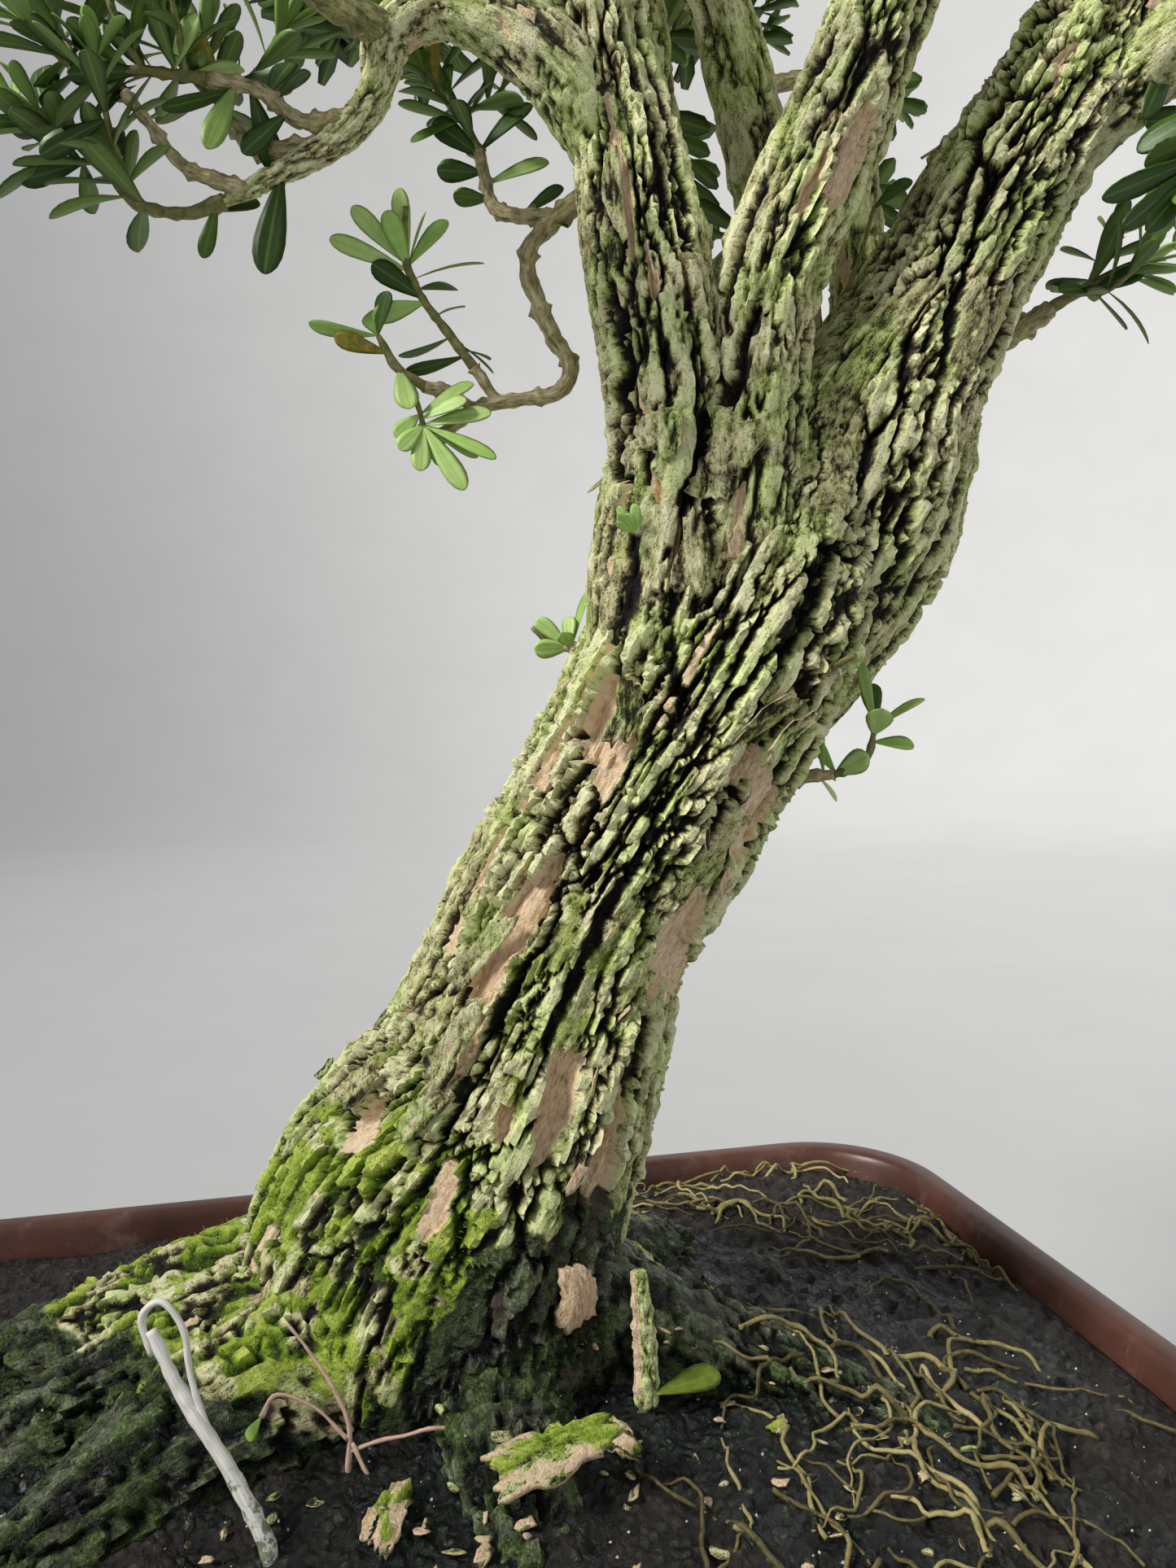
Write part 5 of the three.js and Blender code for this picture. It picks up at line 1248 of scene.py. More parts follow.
# Leaves that the picture shows one by one: foot column and row, tip column and row, how much
# further away the tip is in mm, width in mm, turn of its face from the camera in degrees, and
# bend, age and chance in hundredths
SEEN_LEAVES = {
    "hanging_upright": [
        [508, 328, 490, 233, -2, 6.2, 10, 6, 12, 80], [508, 326, 520, 253, 3, 3.6, 60, 2, 20, 50],
        [503, 325, 433, 257, -3, 6.2, 12, 10, 10, 95], [505, 332, 407, 298, -4, 6, 20, 12, 10, 90],
        [503, 330, 480, 273, -7, 7, 0, 5, 18, 60], [512, 324, 548, 273, -3, 7, 18, 10, 25, 50],
        [514, 340, 587, 302, 2, 5.6, 66, 20, 42, 50], [522, 352, 557, 330, 10, 6.5, 20, 10, 55, 30],
        [515, 370, 461, 332, -5, 7.4, 15, 14, 75, 30],
        [515, 376, 465, 399, -6, 6.6, 35, 12, 35, 70], [536, 389, 565, 362, 3, 5, 55, 25, 50, 50],
        [548, 419, 490, 441, 4, 4.6, 78, 16, 60, 40], [554, 423, 609, 443, 5, 4.6, 76, 16, 60, 30],
        [565, 443, 502, 465, -3, 5.2, 62, 10, 70, 40], [560, 436, 600, 420, 8, 5, 50, 20, 60, 30],
    ],
    "hanging_left": [
        [463, 405, 381, 409, -3, 5.4, 58, 14, 32, 60],
        [470, 439, 413, 419, -3, 5.8, 30, 6, 70, 99.5], [462, 409, 476, 364, -4, 7, 25, 12, 62, 40],
        [468, 400, 445, 372, 5, 6, 20, 12, 40, 50], [490, 455, 506, 508, -5, 8, 10, 5, 5, 90],
        [514, 510, 488, 540, -3, 6, 10, 8, 15, 70], [522, 528, 494, 556, -4, 6, 14, 8, 15, 80],
        [524, 532, 518, 581, -3, 6.6, 8, 6, 10, 90], [540, 535, 573, 604, -4, 7.2, 8, 6, 8, 90],
        [545, 532, 611, 562, -3, 5.6, 22, 8, 20, 70], [545, 530, 588, 556, 2, 5.6, 20, 8, 25, 60],
        [548, 525, 603, 506, -2, 6.6, 15, 8, 10, 90], [534, 510, 573, 494, -4, 6.4, 20, 8, 12, 90],
        [530, 505, 579, 463, 2, 6, 24, 8, 12, 80], [528, 515, 505, 545, 5, 6, 20, 8, 30, 50],
        [535, 520, 545, 565, 6, 6.4, 10, 8, 30, 50],
    ],
    "left_branch_end": [
        [358, 229, 328, 340, -3, 8.4, 12, 5, 92, 20], [277, 273, 249, 317, 0, 4.4, 30, 2, 80, 70],
        [105, 194, 26, 229, -2, 5.8, 45, 16, 90, 30], [85, 120, 6, 172, -6, 4.2, 66, 30, 80, 50],
        [75, 150, 36, 58, 6, 8.4, 5, 8, 90, 40], [70, 152, 2, 158, 4, 4.4, 66, 14, 70, 40],
        [115, 150, 55, 196, -3, 6.2, 30, 12, 90, 20], [130, 200, 117, 150, 3, 4.6, 60, 20, 80, 30],
        [237, 262, 308, 225, 8, 8.6, 14, 6, 92, 20], [92, 170, 60, 120, 5, 6, 20, 10, 60, 60],
    ],
    "left_branch_upper": [
        [285, 125, 267, 199, -8, 6.4, 24, 6, 50, 80], [344, 150, 304, 196, -4, 5.8, 30, 8, 86, 30],
        [293, 138, 213, 154, -6, 4.4, 66, 12, 80, 40], [174, 95, 95, 107, -6, 6.6, 34, 10, 86, 30],
        [210, 100, 250, 40, -8, 7, 10, 10, 40, 90], [230, 105, 290, 60, 6, 7.6, 14, 10, 32, 90],
        [180, 90, 140, 30, -5, 7.4, 12, 12, 90, 40], [150, 85, 84, 30, -2, 6.8, 24, 20, 92, 30],
        [320, 130, 352, 60, 4, 7.4, 14, 10, 86, 30], [300, 128, 330, 190, 8, 7.2, 20, 10, 90, 30],
        [255, 108, 200, 60, 8, 7.4, 18, 10, 80, 50], [330, 132, 382, 96, -4, 6.6, 20, 12, 90, 30],
    ],
    "behind_left_column": [
        [655, 318, 699, 283, -4, 5.2, 50, 10, 80, 99.5],
        [640, 300, 690, 240, -6, 6.6, 24, 10, 90, 40],
        [606, 210, 540, 218, -4, 6.4, 40, 12, 80, 50],
        [612, 240, 560, 250, -4, 5.6, 55, 12, 80, 80], [600, 190, 534, 156, -4, 7, 20, 12, 90, 30],
        [610, 225, 672, 200, -4, 6.6, 20, 12, 40, 90], [600, 180, 650, 130, -4, 7, 20, 12, 85, 50],
    ],
    "right_limb_drooping": [
        [1420, 150, 1345, 262, -8, 6.4, 40, 6, 90, 30],
        [1420, 160, 1372, 292, -6, 6, 30, 6, 90, 20],
        [1425, 170, 1404, 290, -4, 6.4, 20, 6, 90, 30],
        [1430, 180, 1440, 300, -6, 6.6, 10, 6, 80, 60],
        [1415, 130, 1372, 190, 2, 5.6, 50, 10, 85, 50],
        [1405, 90, 1396, 160, -8, 6.4, 20, 8, 90, 30],
    ],
    "trunk_left": [
        [700, 800, 660, 762, -2, 5.6, 14, 8, 10, 90], [702, 806, 658, 800, -4, 6.4, 20, 6, 10, 80],
        [704, 800, 719, 722, 5, 4.6, 55, 5, 35, 50], [700, 798, 700, 756, 2, 5.4, 20, 5, 15, 70],
        [704, 806, 692, 782, -6, 5.6, 30, 10, 20, 70],
    ],
    "trunk_right_upper": [
        [998, 818, 1024, 792, -5, 7.2, 12, 4, 2, 95], [1000, 820, 1043, 802, 1, 6.4, 30, 5, 10, 80],
        [998, 818, 1008, 800, -3, 3.6, 40, 10, 10, 60],
    ],
    "trunk_right_lower": [
        [1010, 925, 1003, 870, 0, 4.6, 50, 5, 20, 70],
        [1046, 885, 1057, 814, 0, 4.6, 45, 5, 10, 90],
        [1050, 882, 1075, 836, 6, 6.6, 15, 6, 60, 30],
        [1048, 890, 1136, 852, 2, 5.4, 60, 10, 10, 80],
        [1032, 895, 1074, 874, -9, 8.4, 8, 3, 2, 95], [1040, 905, 1124, 914, 0, 6.6, 40, 6, 40, 60],
        [1020, 935, 1060, 930, -7, 8, 12, 4, 5, 90], [1005, 945, 1031, 983, 0, 4, 55, 10, 15, 70],
        [1020, 925, 1000, 905, 4, 4.6, 30, 10, 20, 60],
    ],
}
# shoots with no other leaves than these are young, and their leaves are so much narrower
YOUNG_WIDTH = 0.88


def seen_leaves(stems, rows):
    """Rows for leaves(), from leaves seen in the picture. Each starts at the point of the stems
    that is seen nearest to its foot, and its tip lies on its own place's line of sight."""
    chain = np.concatenate([smooth_chain(stem)[:, :3] for stem in stems])
    column, row = seen_at(chain)
    rows = np.array(rows, float)
    near = np.argmin(np.hypot(column[None] - rows[:, :1], row[None] - rows[:, 1:2]), axis=1)
    foot = chain[near]
    scale = ((foot - CAMERA_PLACE) @ FORWARD / FOCAL_PIXELS)[:, None]
    reach = RIGHT * (rows[:, 2:3] - column[near, None]) * scale
    reach = reach - UP * (rows[:, 3:4] - row[near, None]) * scale + FORWARD * rows[:, 4:5]
    length = np.linalg.norm(reach, axis=1)
    turn = np.radians(rows[:, 6:7])
    face = np.cross(unit(reach), FORWARD) * np.sin(turn) - FORWARD * np.cos(turn) + [0, 0, 0.15]
    return np.column_stack([foot, reach, face, length, rows[:, 5], rows[:, 7:] / 100])


for index, (name, twig, foot_radius, main, side_stems, *more) in enumerate(LOW_SHOOTS):
    rng = np.random.default_rng(200 + index)
    stems = [[[*end_of(twig)[0], foot_radius], *main]]
    stems += [[[*place_on(stems[0], at), 0.9], *rows] for at, rows in side_stems]
    places = []
    if more:
        length, age, first, step = more
        places = leafed(stems, rng, first, later=4, step=step, length=length, age=age)
    if name in SEEN_LEAVES:
        seen = seen_leaves([*stems, twig], SEEN_LEAVES[name])
        seen[:, 10] *= 1 if more else YOUNG_WIDTH
        places.append(seen)
    parts = shoot_stems(stems, sides=7, step=1.5, seed=300 + 10 * index)
    parts.append(leaves(np.concatenate(places), FINE_LEAF))
    slot = "leaf" if more else "young_leaf"
    fit_parts(f"shoot_{name}_leaves", parts, leaf_finish, slot, "shoot_" + name)

# Behind the columns stand five more leafy twigs of the rear limbs, of which little is seen.
REAR_TWIGS = [
    [[57, 8, 478, 1.6], [72, 34, 484, 1.2], [86, 52, 478, 0.9], [92, 60, 470, 0.7]],
    [[56, 12, 503, 1.6], [72, 34, 512, 1.2], [84, 46, 524, 0.7]],
    [[99, 10, 445, 1.6], [94, 30, 452, 1.2], [86, 48, 458, 0.7]],
    [[131, 22, 472, 1.6], [146, 44, 476, 1.2], [160, 58, 482, 0.7]],
    [[142, 44, 520, 1.6], [158, 56, 516, 1.2], [172, 66, 520, 0.7]],
]
rng = np.random.default_rng(230)
parts = shoot_stems(REAR_TWIGS, sides=6, step=2, seed=500)
places = leafed(REAR_TWIGS, rng, first=12, later=12, step=5, length=20, age=0.8)
parts.append(leaves(np.concatenate(places), REAR_LEAF))
fit_parts("rear_limb_leaves", parts, leaf_finish, "leaf")

# ------------------------------------------------------------------------------
# Crown sprays
# Each limb and branch ends in a spray: a stem ahead and one to each side, with short twigs on them,
# all leafy. Together they make the clipped dome of the crown.

# share of the stem where each twig leaves it, and to which side
TWIG_PLACES = ((0.15, -1), (0.32, 1), (0.52, -1), (0.74, 1))
# where the stems part, their least lengths and how much longer they may be
SPRAY_FORK, SPRAY_AHEAD, SPRAY_ASIDE, LENGTH_SPREAD = 7.8, 34, 26, (8, 10)
DRAW_FACTOR, DRAW_STEP, DRAW_RANGE = 1103515245.0, 12345.0, 2.0**31


def even_draws(seed):
    """Draws from 0 to 1: each state is what is left of the last one, times a factor and plus a
    step, when it is divided by the range."""
    state = float(seed)
    while True:
        state = math.fmod(state * DRAW_FACTOR + DRAW_STEP, DRAW_RANGE)
        yield state / DRAW_RANGE


def spray_stems(rows, seed):
    """The stems of a spray on a branch end: one ahead and lifted, two sideways, then twigs that
    leave each of them at four places, to the left and right in turn."""
    draw = even_draws(seed)
    end, ahead = end_of(rows)
    lifted = unit(ahead + [0, 0, 0.35])
    side = unit(np.cross(UPRIGHT, lifted))
    fork = end + ahead * SPRAY_FORK
    tip = fork + lifted * (SPRAY_AHEAD + LENGTH_SPREAD[0] * next(draw))
    main = [[*end, 1.6], [*fork, 1.4], [*tip, 0.8]]
    stems = [main]
    for sign in (1, -1):
        out = unit(lifted * 0.55 + side * sign) + [0, 0, 0.3 * (next(draw) - 0.3)]
        side_tip = fork + out * (SPRAY_ASIDE + LENGTH_SPREAD[1] * next(draw)) + [0, 0, 4]
        bent = (fork + side_tip) / 2 - [0, 0, 1.5]
        stems.append([[*place_on(main, 0.18), 1.1], [*bent, 1.0], [*side_tip, 0.7]])
    rng = np.random.default_rng(seed)
    for stem in list(stems):
        way = unit(place_on(stem, 1.0) - place_on(stem, 0.0))
        level = unit(np.cross(UPRIGHT, way))
        for at, sign in TWIG_PLACES:
            reach = rng.uniform(20, 27) * (1.15 - 0.5 * at)
            turn, lift = sign * rng.uniform(0.75, 1.1), rng.uniform(-0.25, 0.75)
            out = (way * math.cos(turn) + level * math.sin(turn) + [0, 0, lift]) * reach
            foot = place_on(stem, at)
            middle = foot + out * 0.5 - [0, 0, 0.8]
            stems.append([[*foot, 0.8], [*middle, 0.7], [*(foot + out), 0.5]])
    return stems


for index, rows in enumerate([*LIMBS, *BRANCHES]):
    rng = np.random.default_rng(400 + index)
    stems = spray_stems(rows, 101 + index)
    parts = shoot_stems(stems, sides=5, step=4, seed=500 + 13 * index)
    places = leafed(stems, rng, first=9, later=3.5, step=4.7, length=20, age=0.8)
    parts.append(leaves(np.concatenate(places), SMALL_LEAF))
    node = f"spray_{index + 1:02d}"
    fit_parts(node + "_leaves", parts, leaf_finish, "leaf", node)

# ------------------------------------------------------------------------------
# Loose bark
# Plates of cork that have come away on one side and curl off the trunk and the columns. Each
# hangs on by one edge; its outer face has lichen and its inner face is bare tan cork.
BARK_PIECES = ["trunk_bark", "left_column_bark", "right_column_bark", "middle_limb_bark"]
BARK_PIECES += [f"root_bark_{k + 1}" for k in range(len(ROOTS))]
PLATE_COUNT, PLATES_FROM, PLATES_TO, TAN_SHARE = 110, 170, 560, 0.12


def read_mesh(values, part, width=1):
    """What a mesh's points or a mark hold, a number or a row of numbers each."""
    flat = np.zeros(len(values) * width, np.float32)
    values.foreach_get(part, flat)
    return flat if width == 1 else flat.reshape(-1, width).astype(float)


bark_meshes = [bpy.data.objects[name].data for name in BARK_PIECES]
bark_points = np.concatenate([read_mesh(mesh.vertices, "co", 3) * 1000 for mesh in bark_meshes])
bark_normals = np.concatenate([read_mesh(mesh.vertices, "normal", 3) for mesh in bark_meshes])
bark_column, bark_row = seen_at(bark_points)
bark_depth = np.linalg.norm(bark_points - CAMERA_PLACE, axis=1)


def on_bark(column, row):
    """The bark that is seen at a place of the picture: of the points near it, the one nearest to
    the camera, with the mean way that the bark faces round it."""
    near = np.hypot(bark_column - column, bark_row - row) < 6
    place = bark_points[np.argmin(np.where(near, bark_depth, np.inf))]
    round_it = np.linalg.norm(bark_points - place, axis=1) < 9
    return place, unit(bark_normals[round_it].mean(0))


def flake_part(foot, ahead, face, length, width, thick, curl, lift, seed, rings, sides, tan):
    """A scale of bark: a rough disc drawn out along the stem, rolled up across its width by curl
    and tipped away from the bark by lift. Its top and underside are one grid, thick apart."""
    rng = np.random.default_rng(seed)
    angle = turns(sides)[None, :]
    share = np.linspace(1, 0, rings)[:, None] ** 0.8
    ragged = 1 + 0.16 * np.sin(3 * angle + rng.uniform(0, 6))
    ragged = ragged + rng.uniform(-0.16, 0.16, sides)[None]
    square = 1 / np.maximum(np.abs(np.cos(angle)), np.abs(np.sin(angle))) ** 0.55
    u = 0.5 * length * share * ragged * square * np.cos(angle)
    v = 0.5 * width * share * ragged * square * np.sin(angle)
    streak = rougher(np.stack([u / 4, v, 0 * u + seed], -1), 1.7, seed, 3, 0.7)
    arch = curl * (v / width) ** 2 * width + lift * (v + 0.5 * width) + 0.35 * lift * np.abs(u)
    height = arch + streak * min(0.12 * width, 0.9) * share
    body = 0.5 * thick * (0.35 + 0.65 * (1 - share**2))
    sheets = [np.stack([u, v, height + sign * body], -1).reshape(-1, 3) for sign in (1, -1)]
    side = unit(np.cross(face, ahead))
    points = np.concatenate(sheets) @ np.stack([np.cross(side, face), side, face]) + foot
    count = rings * sides
    upper, rim = ring_faces(rings, sides), np.arange(sides)
    wall = np.stack([rim + count, np.roll(rim, -1) + count, np.roll(rim, -1), rim], -1)
    streak = streak.ravel()
    marks = {
        "crest": np.append(np.clip(0.66 + 0.42 * streak, 0, 1), np.full(count, 0.5)),
        "bare": np.append(climb(tan + 0.45 * streak, 0.4, 0.62), np.full(count, max(tan, 0.9))),
        "moss": np.full(2 * count, 0.12),
        "wet": np.zeros(2 * count),
        "grain": points / 1000,
    }
    return points, [upper, upper[:, ::-1] + count, wall], marks


def laid_on(face, way):
    """A way, turned so that it lies flat on what faces another way."""
    return unit(way - face * (way @ face))


# where the largest loose plates are seen: column, row, length and width in mm, lean from upright to
# the right in degrees, curl, lift
LOOSE_PLATES = [
    [846, 686, 21, 9, 6, 0.3, 0.25], [908, 545, 15, 14, 10, 0.35, 0.12],
    [880, 592, 11, 12, 8, 0.5, 0.2], [812, 535, 12, 11, 4, 0.3, 0.15],
    [560, 1290, 24, 7, 28, 0.5, 0.4], [600, 1170, 26, 6, 42, 0.6, 0.4],
    [770, 880, 16, 7, 16, 0.4, 0.4], [940, 880, 20, 7, 60, 0.5, 0.4],
    [965, 905, 16, 6, 50, 0.5, 0.45], [520, 1370, 16, 7, 40, 0.5, 0.35],
    [440, 1340, 14, 6, 45, 0.4, 0.35], [760, 240, 22, 5, -8, 0.3, 0.3],
    [950, 350, 16, 6, 28, 0.3, 0.3], [1210, 570, 16, 7, 20, 0.5, 0.5],
]
parts = []
for index, (column, row, length, width, lean, curl, lift) in enumerate(LOOSE_PLATES):
    place, face = on_bark(column, row)
    tip = math.radians(lean)
    ahead = laid_on(face, RIGHT * math.sin(tip) + UPRIGHT * math.cos(tip))
    form = (length, width, 1.9, curl, lift, 700 + index, 8, 26, 0.05)
    parts.append(flake_part(place + face * 0.2, ahead, face, *form))
stems = [np.array(rows)[:, :3] for rows in (TRUNK, RIGHT_COLUMN, LEFT_COLUMN)]
stem_ways = [np.diff(np.vstack([rows, 2 * rows[-1] - rows[-2]]), axis=0) for rows in stems]
stem_knots, stem_ways = np.concatenate(stems), np.concatenate(stem_ways)
rng = np.random.default_rng(800)
high = np.flatnonzero((bark_points[:, 2] > PLATES_FROM) & (bark_points[:, 2] < PLATES_TO))
for index, spot in enumerate(rng.choice(high, PLATE_COUNT, replace=False)):
    place, face = bark_points[spot], bark_normals[spot]
    way = stem_ways[np.argmin(np.linalg.norm(stem_knots - place, axis=1))]
    ahead = laid_on(face, way + rng.normal(0, 0.12, 3) * np.linalg.norm(way))
    length, width = rng.uniform(5, 12), rng.uniform(1.6, 3.2)
    curl, lift = rng.uniform(0.2, 0.9), rng.uniform(0.1, 0.5)
    tan = float(rng.uniform() < TAN_SHARE)
    form = (length, width, 0.8, curl, lift, 900 + index, 3, 8, tan)
    parts.append(flake_part(place, ahead, face, *form))
fit_parts("loose_bark_plates", parts, bark_finish, "bark", "trunk_and_branches")

# ------------------------------------------------------------------------------
# Moss
# A short pile of moss on the foot of the trunk, the roots and the wet soil: thousands of small
# pointed leaves that stand off the surface.
MOSS_BLADES = 5200
SOIL_BLADES = MOSS_BLADES // 3


def spikes(foot, ahead, length, width, rng):
    """Slim three-sided spikes: a triangle round each foot and a point at a length along its way."""
    level = unit(np.cross(ahead, rng.normal(0, 1, ahead.shape)))
    base = foot[:, None] + width[:, None, None] * (
        way_round(level, np.cross(ahead, level), np.arange(0, 6, 2)[None] * math.pi / 3)
    )
    return np.concatenate([base, (foot + ahead * length[:, None])[:, None]], 1).reshape(-1, 3)


def moss_pile(wire):
    """Bright yellow-green at the tips of the pile and dark green in it, browner in patches."""
    chance, tip, wet = wire.marks("chance", "tip", "wet")
    tint = chance * 0.45 + tip * 0.3 + wire.place().grain(70, 3) * 0.4
    colour = tint.ramp((0.2, 44, 58, 18), (0.5, 104, 128, 40), (0.85, 178, 194, 98))
    dark = tint.ramp((0.2, 10, 20, 16), (0.6, 30, 52, 36), (0.9, 66, 92, 50))
    return {"Base Color": wet.mix(colour, dark), "Roughness": 0.75 + (chance - 0.5) * 0.2}


rng = np.random.default_rng(820)
bark_moss, bark_wet = (
    np.concatenate([read_mesh(mesh.attributes[mark].data, "value") for mesh in bark_meshes])
    for mark in ("moss", "wet")
)
weight = np.clip(bark_moss - 0.3, 0, 1) ** 1.3 + 0.05 * bark_wet
weight = weight * (bark_points[:, 2] > soil_height(bark_points[:, 0], bark_points[:, 1]))
chosen = rng.choice(len(bark_points), MOSS_BLADES, p=weight / weight.sum())
on_wood = bark_points[chosen] + rng.normal(0, 0.4, (MOSS_BLADES, 3))
wood_way = bark_normals[chosen] + rng.normal(0, 0.45, (MOSS_BLADES, 3)) + [0, 0, 0.3]
weight = np.clip(film_spread.ravel(), 0, 1) ** 2
chosen_soil = rng.choice(len(soil_grid), SOIL_BLADES, p=weight / weight.sum())
on_soil = soil_grid[chosen_soil] + rng.normal(0, 0.5, (SOIL_BLADES, 3)) * [1, 1, 0.2]
soil_way = rng.normal(0, 0.5, (SOIL_BLADES, 3)) + UPRIGHT
feet, ways = np.concatenate([on_wood, on_soil]), unit(np.concatenate([wood_way, soil_way]))
lengths, widths = rng.uniform(0.7, 1.9, len(feet)), rng.uniform(0.16, 0.3, len(feet))
blades = spikes(feet - ways * 0.3, ways, lengths, widths, rng)
blade_faces = many([[0, 1, 3], [1, 2, 3], [2, 0, 3], [0, 2, 1]], len(feet), 4)
marks = {
    "chance": np.repeat(rng.uniform(0, 1, len(feet)), 4),
    "tip": np.tile([0, 0, 0, 1.0], len(feet)),
    "wet": np.repeat(np.append(np.clip(bark_wet[chosen], 0, 1), np.ones(SOIL_BLADES)), 4),
}
moss_finish = new_finish("moss_pile", moss_pile)
fit(new_piece("moss_pile", blades, [blade_faces], moss_finish, marks), "soil")

# ------------------------------------------------------------------------------
# Bud and lone leaf
# A green bud breaks from the bark below the fork, and one leaf on a thin stem stands between
# the two columns. Both grow straight out of the living wood.
BUD_LEAVES = 7
bud_foot, bud_face = on_bark(780, 655)
stem_foot, _ = on_bark(1040, 355)
rng = np.random.default_rng(881)
spread = rng.normal(0, 0.4, (BUD_LEAVES, 3))
ahead, face = bud_face * 0.5 + [-0.2, 0, 0.8] + spread, bud_face + 0.6 * spread
sizes = rng.uniform(4, 8, BUD_LEAVES), rng.uniform(2, 3.2, BUD_LEAVES)
bend_age_chance = np.tile([0.1, 0.1, 0.7], (BUD_LEAVES, 1))
bud_rows = np.column_stack([bud_foot + spread, ahead, face, *sizes, bend_age_chance])
lone_stem = [
    [*(stem_foot + past), radius]
    for past, radius in (([0, 0, 0], 0.7), ([3, -3, 11], 0.6), ([6, -4, 23], 0.5))
]
lone_seen = [
    [1066, 256, 1114, 226, -4, 6, 30, 10, 75, 60], [1066, 290, 1090, 292, -3, 2.6, 40, 10, 40, 60],
]
places = np.concatenate([bud_rows, seen_leaves([lone_stem], lone_seen)])
parts = shoot_stems([lone_stem], sides=7, step=1.5, seed=882)
parts.append(leaves(places, FINE_LEAF))
fit_parts("bud_and_lone_leaf", parts, leaf_finish, "young_leaf")

# ------------------------------------------------------------------------------
# What stands in the soil
# A broken dead twig with half its bark gone and a fallen leaf against it, the hollow papery
# stalk of a dead grass, and a seedling with thin pinkish stems. Each is pushed a little way
# into the soil.

# rows [x, y, height over the ground, radius]
DEAD_TWIG = [[43, -49, 0, 2.9], [42.5, -48.5, 20, 2.6], [41, -47, 37, 2.1]]
DEAD_STALK = [[-52, -72, 0, 2], [-60, -66, 16, 1.8], [-72, -58, 34, 1.6], [-78, -54, 46, 1.3]]
SEEDLING = [[-34, -54, 0, 0.75], [-34, -54, 12, 0.55], [-42, -50, 28, 0.45], [-48, -48, 36, 0.36]]
# rows from the stalk's end, which folds into a loop, and from the seedling's foot
STALK_LOOP = [
    [0, 0, -6, 0.9], [-2, 1, 3, 0.9], [2, 0, 6.5, 0.9], [7, -2, 1, 0.8], [9, -5, -10, 0.8],
    [14, -9, -24, 0.7],
]
SEEDLING_SIDES = [
    [[0, 0, 8, 0.5], [-8, 2, 16, 0.45], [-17, 2, 20, 0.5], [-20, 1, 16, 0.8]],
    [[0.5, 0, 5, 0.55], [12, 0, 7, 0.5], [27, -1, 7, 0.5], [33, -2, 3, 0.4]],
    [[1, 0, 7, 0.6], [6, -3, -2, 0.5], [10, -5, -6, 0.4]],
]
BURIED = 8
TWIG_SIDES = 36


def standing(rows, node):
    """Rows whose heights are over the ground, put where the solid of that name stands."""
    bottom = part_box(node)[0].z * 1000
    above = [[x, y, bottom + BURIED + height, radius] for x, y, height, radius in rows]
    return [[rows[0][0], rows[0][1], bottom + 1, rows[0][3]], *above]


def moved(rows, place):
    """Rows [x, y, z, radius] that are given from a place."""
    return (np.array(rows) + [*place, 0]).tolist()


stem_rows = standing(DEAD_TWIG, "dead_twig")
shape = {"sides": TWIG_SIDES, "count": 70, "form": (2, 3, 0.2, 0.2), "plate": (2.6, 30, 0.55)}
rings, marks = bark_skin(stem_rows, **shape, seed=50, fades=(12, 30))
ring_z = rings[..., 2]
twig_foot = ring_z.min() + BURIED
peeled = climb(np.sin(turns(TWIG_SIDES) + 1.7)[None], 0.6, 0.8) * (ring_z > twig_foot + 4)
marks |= {"bare": np.maximum(marks["bare"], peeled), "moss": marks["moss"] * 0.3}
marks["wet"] = climb(twig_foot + 6 - ring_z, 0, 8)
bark_piece("dead_twig_bark", rings, marks, "dead_twig", "dead_twig")


def dry_stalk(wire):
    """Bleached papery grass: off-white with fine straight fibres, stained green at its foot."""
    grain, place = wire.mark("grain", 1), wire.place()
    fibre = grain.grain(2600, 3, (1, 1, 0.05))
    stain = (place.grain(340, 5, roughness=0.7) + (0.022 - grain.height()) * 7).between(0.52, 0.6)
    stain = stain * wire.mark("thick").between(1.1, 1.3)
    colour = fibre.ramp((0.3, 206, 205, 196), (0.6, 244, 243, 238))
    green = place.grain(600, 4).ramp((0.35, 40, 60, 26), (0.65, 104, 130, 62))
    return {
        "Base Color": (stain * 0.8).mix(colour, green),
        "Roughness": 0.55 + stain * 0.3,
        "Normal": fibre.bump(0.4, 0.0002),
    }


stem_rows = standing(DEAD_STALK, "dead_stalk")
loop_rows = moved(STALK_LOOP, stem_rows[-1][:3])
parts = [
    twig_skin(stem_rows, sides=16, step=1.2, seed=31, joint=17, swell=0.1, crook=0.2),
    twig_skin(loop_rows, sides=8, step=1.2, seed=32, joint=30, swell=0.02, crook=0.2),
]
stalk_finish = new_finish("dry_stalk", dry_stalk)
fit_parts("dead_grass_stalk", parts, stalk_finish, "dead_stalk", "dead_stalk")


def seedling_skin(wire):
    """Tender stem: translucent pink to pale green with faint darker streaks."""
    streak = wire.mark("grain", 1).grain(1600, 3, (1, 1, 0.12))
    colour = streak.ramp((0.3, 176, 128, 116), (0.5, 226, 188, 172), (0.7, 214, 206, 172))
    return {"Base Color": colour, "Roughness": 0.42 + (streak - 0.5) * 0.2}


stem_rows = standing(SEEDLING, "seedling")
sides = [moved(rows, stem_rows[1][:3]) for rows in SEEDLING_SIDES]
parts = [
    twig_skin(rows, sides=9, step=1, seed=41 + k, joint=9, swell=0.1, crook=0.3)
    for k, rows in enumerate([stem_rows, *sides])
]
seedling_finish = new_finish("seedling_stem", seedling_skin)
fit_parts("seedling_stems", parts, seedling_finish, "seedling", "seedling")
